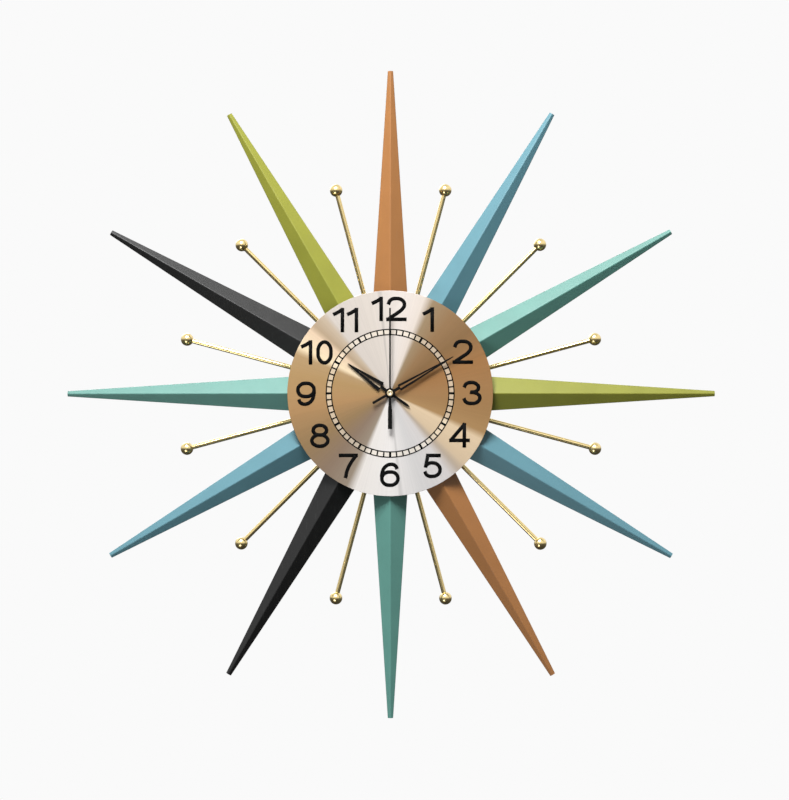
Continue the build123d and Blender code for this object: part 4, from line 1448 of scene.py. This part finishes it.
    def track(self) -> Piece:
        """Makes the two circles and sixty ticks of the minute track.

        Returns:
            The track.
        """
        half = self.circle_width / 2
        parts = []
        for number, radius in enumerate(self.circles):
            profile = rectangle(radius - half, -self.sunk, radius + half, self.ink)
            origin = ROOM * self.front * MM
            parts.append(turned(f"circle_{number}", profile, origin, steps=self.circle_steps))
        fine = self.tick("minute_tick", self.tick_width)
        broad = self.tick("hour_tick", self.hour_tick_width, self.hour_tick_reach)
        for minute in range(MINUTES):
            pattern = fine if minute % (MINUTES // HOURS) else broad
            parts.append(copied(pattern, f"tick_{minute:02d}", minute * 360 / MINUTES))
        discard(fine, broad)
        return joined(parts, "minute_track")

    def build(self, shop: PaintShop) -> None:
        """Makes the dial and prints it.

        Args:
            shop: The shop that dresses and mounts the pieces.
        """
        shop.fit(self.disc(), BODY, "dial_champagne", "dial")
        pen = self.pen()
        for hour in range(1, HOURS + 1):
            shop.fit(self.numeral(hour, pen), BODY, "hand_black", finish="dial_ink")
        discard(pen)
        shop.fit(self.track(), BODY, "hand_black", finish="dial_ink")
        carrier = refined("dial_carrier", "moulded_dial_carrier", self.carrier_edge)
        shop.fit(carrier, BODY, "carrier_black", "dial_carrier")


@dataclass
class HandSet:
    """The three lacquered hands and the gilt cap on the second hand's hub."""

    edge: float = 0.13
    cap_radius: float = 3.0
    cap_edge: float = 0.05
    cap_height: float = 1.3
    dimple_inset: float = 1.5
    dimple_depth: float = 0.35

    def build(self, shop: PaintShop) -> None:
        """Makes the hands and mounts each on its own set.

        Args:
            shop: The shop that dresses and mounts the pieces.
        """
        for name, body in (("hour_hand", "hour_set"), ("minute_hand", "minute_set")):
            hand = refined(name, f"lacquered_{name}", self.edge)
            shop.fit(hand, body, "hand_black", name)
        second = refined("second_hand", "lacquered_second_hand", self.edge)
        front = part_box("second_hand")[0].y
        edit(second)
        pick(second, Element.FACE, lambda c: c.y < front + SEAM)
        bpy.ops.mesh.inset(thickness=self.dimple_inset * MM, depth=0.0)
        bpy.ops.mesh.inset(thickness=self.dimple_depth * MM, depth=-self.dimple_depth * MM)
        bpy.ops.object.mode_set(mode="OBJECT")
        for finish in ("hand_black", "hub_gilt"):
            second.data.materials.append(shop.materials[finish])
        cap_reach = (self.cap_radius + self.cap_edge) * MM
        cap_foot = front + self.cap_height * MM
        for face in second.data.polygons:
            on_cap = math.hypot(face.center.x, face.center.z) < cap_reach
            face.material_index = int(on_cap and face.center.y < cap_foot)
        shop.fit(second, "seconds_set", "hand_black", "second_hand")


# ---- shell ---------------------------------------------------------------------------
@dataclass
class Pan:
    """The pressed pan with its wall pad, keyhole plate, rivets and screws."""

    radius: float = 92.0
    back: float = 2.0
    front: float = 24.0
    sheet: float = 1.2
    corner: float = 3.0
    corner_steps: int = 6
    lip_radius: float = 80.0
    centre_hole: float = 4.15
    shell_steps: int = 144
    shell_edge: float = 0.3
    shell_crease: float = 50.0
    pad: tuple[float, float] = (81.0, 91.0)
    head_radius: float = 2.75
    head_height: float = 2.0
    shank: float = 1.5
    thread_depth: float = 0.2
    thread_pitch: float = 0.5
    recess: float = 1.1
    recess_width: float = 0.28
    recess_depth: float = 0.8
    screw_steps: int = 28
    screw_crease: float = 30.0
    thread_start: float = 0.2
    thread_end: float = 0.4
    spike_screw_radii: tuple[float, float] = (64.0, 84.0)
    spike_screw_front: float = 26.5
    carrier_screws: tuple[float, ...] = (45.0, 135.0, 225.0, 315.0)
    carrier_screw_radius: float = 60.0
    carrier_screw_front: float = 27.0
    rivet_spots: Outline = ((-12.0, 84.0), (12.0, 84.0))
    rivet_radii: tuple[float, float] = (1.5, 2.8)
    rivet_steps: int = 28
    rivet_crease: float = 40.0
    plate_edge: float = 0.2

    def bend(self, radius: float) -> list[tuple[float, float]]:
        """Gives the arc of the shell's corner, from the wall to the front.

        Args:
            radius: The arc's radius, in mm.

        Returns:
            Its points, as (radius, height).
        """
        across, up = self.radius - self.corner, self.front - self.corner
        turns = [QUARTER_TURN * step / self.corner_steps for step in range(self.corner_steps + 1)]
        return [(across + radius * math.cos(t), up + radius * math.sin(t)) for t in turns]

    def shell(self) -> Piece:
        """Spins the pressed shell.

        Returns:
            The shell.
        """
        profile = [
            (self.lip_radius, self.back),
            (self.radius, self.back),
            *self.bend(self.corner),
            (self.centre_hole, self.front),
            (self.centre_hole, self.front - self.sheet),
            *reversed(self.bend(self.corner - self.sheet)),
            (self.radius - self.sheet, self.back + self.sheet),
            (self.lip_radius, self.back + self.sheet),
        ]
        shell = turned("pressed_pan", profile, steps=self.shell_steps)
        soften(shell, self.shell_edge, limit=self.shell_crease)
        return shell

    def foam(self) -> Piece:
        """Makes the foam ring, crowned a little between its edges.

        Returns:
            The ring.
        """
        inner, outer = self.pad
        # How far in from each edge, and how far from the wall.
        slope = ((0.0, 0.6), (0.25, 0.25), (1.2, 0.12), (3.5, 0.0))
        profile = [
            (inner, self.back),
            *((inner + reach, height) for reach, height in slope),
            *((outer - reach, height) for reach, height in reversed(slope)),
            (outer, self.back),
        ]
        ring = turned("foam_wall_ring", profile, steps=self.shell_steps)
        even_shading(ring, self.shell_crease)
        return ring

    def screw(self, front: float) -> Piece:
        """Makes one screw on the hands' axis, with a cross recess in its head.

        Args:
            front: The height of its point above the wall, in mm.

        Returns:
            The screw.
        """
        seat = self.front - self.sheet
        top = seat - self.head_height
        root = self.shank - self.thread_depth
        # The head's dome, as (radius, depth below its top).
        dome = ((0.0, 0.0), (1.7, 0.06), (2.35, 0.3), (self.head_radius, 0.9))
        profile = [(radius, top + depth) for radius, depth in dome]
        profile += [(self.head_radius, seat), (self.shank, seat)]
        reach = self.front + self.thread_start
        while reach < front - self.thread_end:
            profile += [(self.shank, reach), (root, reach + self.thread_pitch / 2)]
            reach += self.thread_pitch
        profile += [(root, front), (0.0, front)]
        screw = turned("screw_pattern", profile, steps=self.screw_steps)
        sizes = (self.recess, self.recess_width)
        for wide, tall in (sizes, sizes[::-1]):
            low = Vector((-wide, -top - self.recess_depth, -tall)) * MM
            high = Vector((wide, 1.0 - top, tall)) * MM
            combine(screw, block("driver", low, high), Joinery.CUT)
        even_shading(screw, self.screw_crease)
        return screw

    def screws(self, name: str, spots: Outline, front: float) -> Piece:
        """Sets copies of a screw and joins them.

        Args:
            name: The name of the joined piece.
            spots: Each screw's radius and clock angle.
            front: The height of their points above the wall, in mm.

        Returns:
            The screws, as one piece.
        """
        pattern = self.screw(front)
        made = [
            copied(pattern, f"{name}_{number:02d}", angle, UP * radius * MM)
            for number, (radius, angle) in enumerate(spots)
        ]
        discard(pattern)
        return joined(made, name)

    def rivets(self) -> Piece:
        """Turns the two domed rivets of the keyhole plate.

        Returns:
            The rivets, as one piece.
        """
        plate = -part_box("hanger_plate")[0].y / MM
        top = -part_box("hanger_rivets")[0].y / MM
        shank, head = self.rivet_radii
        profile = [
            (0.0, self.back), (shank, self.back), (shank, plate), (head, plate),
            (2.7, plate + 0.45), (2.2, top - 0.2), (1.2, top - 0.04), (0.0, top),
        ]
        sides = self.rivet_steps
        made = [
            turned(f"rivet_{number}", profile, (ACROSS * across + UP * up) * MM, steps=sides)
            for number, (across, up) in enumerate(self.rivet_spots)
        ]
        rivets = joined(made, "domed_rivets")
        even_shading(rivets, self.rivet_crease)
        return rivets

    def build(self, shop: PaintShop) -> None:
        """Makes the shell and all that is fixed to it.

        Args:
            shop: The shop that dresses and mounts the pieces.
        """
        shop.fit(self.shell(), BODY, "pan_black", "housing_pan")
        foam = shop.fit(self.foam(), BODY, "foam_pad", "wall_pad_ring")
        spots = [
            (radius, hour * HOUR_ANGLE)
            for hour in range(HOURS)
            for radius in self.spike_screw_radii
        ]
        made = self.screws("cross_head_spike_screws", spots, self.spike_screw_front)
        shop.fit(made, BODY, "zinc_steel", "spike_screws")
        spots = [(self.carrier_screw_radius, angle) for angle in self.carrier_screws]
        made = self.screws("cross_head_carrier_screws", spots, self.carrier_screw_front)
        shop.fit(made, BODY, "zinc_steel", "carrier_screws")
        shop.fit(self.rivets(), BODY, "zinc_steel", "hanger_rivets")
        plate = refined("hanger_plate", "keyhole_plate", self.plate_edge)
        shop.fit(plate, BODY, "zinc_steel", "hanger_plate")


# ---- movement ------------------------------------------------------------------------
@dataclass
class Movement:
    """The quartz movement's case, cover, knob, cell and fixings."""

    case_edge: float = 0.25
    cover_edge: float = 0.3
    fine_edge: float = 0.08
    knob_ring: tuple[float, float] = (6.4, 7.4)
    ring_height: float = 0.3
    ring_chamfer: float = 0.2
    sunk: float = 0.6
    mark_size: float = 1.5
    mark_width: float = 0.6
    mark_height: float = 0.2
    mark_sunk: float = 0.3
    mark_line: float = 3.9
    mark_place: float = 24.0
    cell_edge: float = 0.5
    cell_steps: int = 56
    cell_crease: float = 38.0
    nub: tuple[float, float] = (2.75, 1.0)

    def cover(self) -> Piece:
        """Moulds the rear cover: a plate with a ring round the knob.

        Returns:
            The cover.
        """
        low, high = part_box("movement_cover")
        cover = refined("movement_cover", "moulded_cover", self.cover_edge)
        knob_low, knob_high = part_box("setting_knob")
        knob = (knob_low + knob_high) / 2
        knob.y = 0.0
        inner, outer = self.knob_ring
        face = -high.y / MM
        brim, step = face - self.ring_height + self.ring_chamfer, self.ring_chamfer
        profile = [
            (inner, face + self.sunk), (inner, brim), (inner + step, brim - step),
            (outer - step, brim - step), (outer, brim), (outer, face + self.sunk),
        ]
        ring = turned("knob_ring", profile, knob)
        marks = self.marks(low.z / MM + self.mark_line, face)
        made = joined([cover, ring, *marks], "moulded_cover")
        even_shading(made)
        return made

    def marks(self, up: float, face: float) -> list[Piece]:
        """Raises the plain plus and minus beside the cell.

        Args:
            up: Their height over the hands' axis, in mm.
            face: The height of the cover's face above the wall.

        Returns:
            The plus and the minus.
        """
        size, half = self.mark_size, self.mark_width / 2
        depth = (face - self.mark_height, face + self.mark_sunk)
        made = []
        for name, across in (("plus", self.mark_place), ("minus", -self.mark_place)):
            outline = rectangle(across - size, up - half, across + size, up + half)
            made.append(cut_sheet(f"{name}_bar", outline, *depth))
        across = self.mark_place
        outline = rectangle(across - half, up - size, across + half, up + size)
        combine(made[0], cut_sheet("post", outline, *depth), Joinery.WELD)
        return made

    def cell(self) -> Piece:
        """Turns the cell that lies across the bottom of the case.

        Returns:
            The cell.
        """
        low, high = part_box("battery")
        origin = Vector((0.0, (low.y + high.y) / 2, (low.z + high.z) / 2))
        radius = (high.z - low.z) / 2 / MM
        start, end = low.x / MM, high.x / MM
        nub, nub_length = self.nub
        shoulder = end - nub_length
        edge = self.cell_edge
        sleeve = radius - 0.12
        profile = [
            (0.0, start + 0.25), (3.6, start + 0.25), (4.0, start), (radius - edge, start),
            (radius - 0.1, start + 0.2), (radius, start + edge), (radius, start + 1.4),
            (sleeve, start + 1.5), (sleeve, shoulder - 1.5), (radius, shoulder - 1.4),
            (radius, shoulder - edge), (radius - 0.15, shoulder - 0.15),
            (radius - edge, shoulder), (nub + 0.7, shoulder), (nub + 0.3, shoulder - 0.2),
            (nub, shoulder), (nub, end - 0.3), (nub - 0.3, end), (0.0, end),
        ]
        cell = turned("round_cell", profile, origin, ACROSS, UP, self.cell_steps)
        even_shading(cell, self.cell_crease)
        return cell

    def build(self, shop: PaintShop) -> None:
        """Makes the movement's outside.

        Args:
            shop: The shop that dresses and mounts the pieces.
        """
        case = refined("movement_case", "moulded_case", self.case_edge)
        shop.fit(case, BODY, "movement_black", "movement_case")
        shop.fit(self.cover(), BODY, "movement_black", "movement_cover")
        knob = refined("setting_knob", "fluted_knob", self.fine_edge)
        shop.fit(knob, "knob_set", "train_white", "setting_knob")
        shop.fit(self.cell(), "battery_set", "battery_label", "battery")
        for side in ("positive", "negative"):
            strip = refined(f"{side}_contact", f"{side}_spring_strip", self.fine_edge)
            shop.fit(strip, BODY, "contact_nickel", f"{side}_contact")
        nut = refined("bushing_nut", "turned_bushing_nut", self.case_edge)
        shop.fit(nut, BODY, "nut_brass", "bushing_nut")


# ---- studio --------------------------------------------------------------------------
def face_from(thing: Piece, place: Vector, target: Vector) -> None:
    """Turns a camera or a light at a place towards a point."""
    thing.rotation_euler = (target - place).to_track_quat("-Z", "Y").to_euler()


@dataclass(frozen=True)
class Lamp:
    """A square soft light that faces the clock. Its power is in watts."""

    name: str
    place: Triple
    size: float
    power: float

    def hang(self) -> None:
        """Hangs the light."""
        bpy.ops.object.light_add(type="AREA", location=self.place)
        lamp = name_new(self.name)
        lamp.data.shape = "SQUARE"
        lamp.data.size = self.size
        lamp.data.energy = self.power
        face_from(lamp, Vector(self.place), Vector((0.0, -0.03, 0.0)))


@dataclass
class Studio:
    """The camera, the lights, the pale floor and the plain backdrop."""

    camera_place: Triple = (0.045, -2.442, -0.055)
    aim: Triple = (0.00405, -0.028, -0.0063)
    lens: float = 110.0
    backdrop: float = 0.956
    floor_level: float = -1.6
    floor_radius: float = 6.0
    floor_glow: float = 0.75
    lamps: tuple[Lamp, ...] = (
        Lamp("key", (-0.22, -1.00, 1.20), 0.65, 42.0),
        Lamp("front_fill", (-0.7, -1.3, -1.25), 0.8, 7.5),
        Lamp("rear_fill", (-0.7, 1.9, 1.1), 1.2, 14.0),
    )
    ambient: float = 0.10
    mirrored: tuple[tuple[float, float], ...] = (
        (0.0, 0.05), (0.40, 0.10), (0.50, 0.20), (0.58, 0.9), (0.8, 1.2), (1.0, 0.8),
    )

    def camera(self) -> None:
        """Stands the camera in front of the clock."""
        bpy.ops.object.camera_add(location=self.camera_place)
        camera = name_new("camera")
        face_from(camera, Vector(self.camera_place), Vector(self.aim))
        camera.data.lens = self.lens
        camera.data.sensor_width = 36.0
        camera.data.clip_end = 100.0
        bpy.context.scene.camera = camera

    def sky(self) -> None:
        """Makes the plain backdrop, the dim light all round and what the metals mirror."""
        world = bpy.data.worlds.new("studio")
        bpy.context.scene.world = world
        world.use_nodes = True
        tree = world.node_tree
        tree.nodes.clear()
        new, link = tree.nodes.new, tree.links.new
        parts = new("ShaderNodeSeparateXYZ")
        link(new("ShaderNodeTexCoord").outputs["Generated"], parts.inputs["Vector"])
        level = new("ShaderNodeMapRange")
        level.inputs[1].default_value = -1.0
        link(parts.outputs["Z"], level.inputs["Value"])
        ramp = new("ShaderNodeValToRGB")
        link(level.outputs["Result"], ramp.inputs["Fac"])
        fill_ramp(ramp.color_ramp, [(place, (bright,) * 3) for place, bright in self.mirrored])
        glow = new("ShaderNodeBackground")
        link(ramp.outputs["Color"], glow.inputs["Color"])
        shown = glow.outputs[0]
        path = new("ShaderNodeLightPath")
        for ray, bright in (("Is Diffuse Ray", self.ambient), ("Is Camera Ray", self.backdrop)):
            glow = new("ShaderNodeBackground")
            glow.inputs["Color"].default_value = (bright, bright, bright, 1.0)
            mix = new("ShaderNodeMixShader")
            link(path.outputs[ray], mix.inputs[0])
            link(shown, mix.inputs[1])
            link(glow.outputs[0], mix.inputs[2])
            shown = mix.outputs[0]
        link(shown, new("ShaderNodeOutputWorld").inputs["Surface"])

    def floor(self) -> None:
        """Lays the plain pale floor."""
        clear_bench()
        bpy.ops.mesh.primitive_circle_add(
            vertices=96, radius=self.floor_radius, fill_type="NGON",
            location=(0.0, 0.0, self.floor_level),
        )
        floor = name_new("pale_floor")
        settle(floor)
        paint = Finish(
            "pale_floor", (0.82, 0.82, 0.81), 0.0, 0.8, 0.05, 0.02, 90.0, 4.0, 0.2, scuffs=0.0
        )
        material = paint.make()
        shader = next(n for n in material.node_tree.nodes if n.type == "BSDF_PRINCIPLED")
        shader.inputs["Emission Color"].default_value = (*paint.colour, 1.0)
        shader.inputs["Emission Strength"].default_value = self.floor_glow
        floor.data.materials.append(material)
        floor.visible_diffuse = floor.visible_glossy = False

    def build(self) -> None:
        """Sets up the studio."""
        clear_bench()
        self.camera()
        for lamp in self.lamps:
            lamp.hang()
        self.sky()
        self.floor()
        bpy.context.scene.view_settings.view_transform = "Standard"


def main() -> None:
    """Builds the clock's sub-assemblies in order, inside the studio."""
    logging.basicConfig(level=logging.INFO, format="%(name)s: %(message)s")
    Studio().build()
    shop = PaintShop()
    for assembly in (SpikeBurst(), RodBurst(), DialAssembly(), HandSet(), Pan(), Movement()):
        assembly.build(shop)
        LOG.info("%s is finished", type(assembly).__name__)
    shop.redress(node for node in frame["nodes"].values() if not node.hide_render)
    clear_bench()


if __name__ == "__main__":
    main()
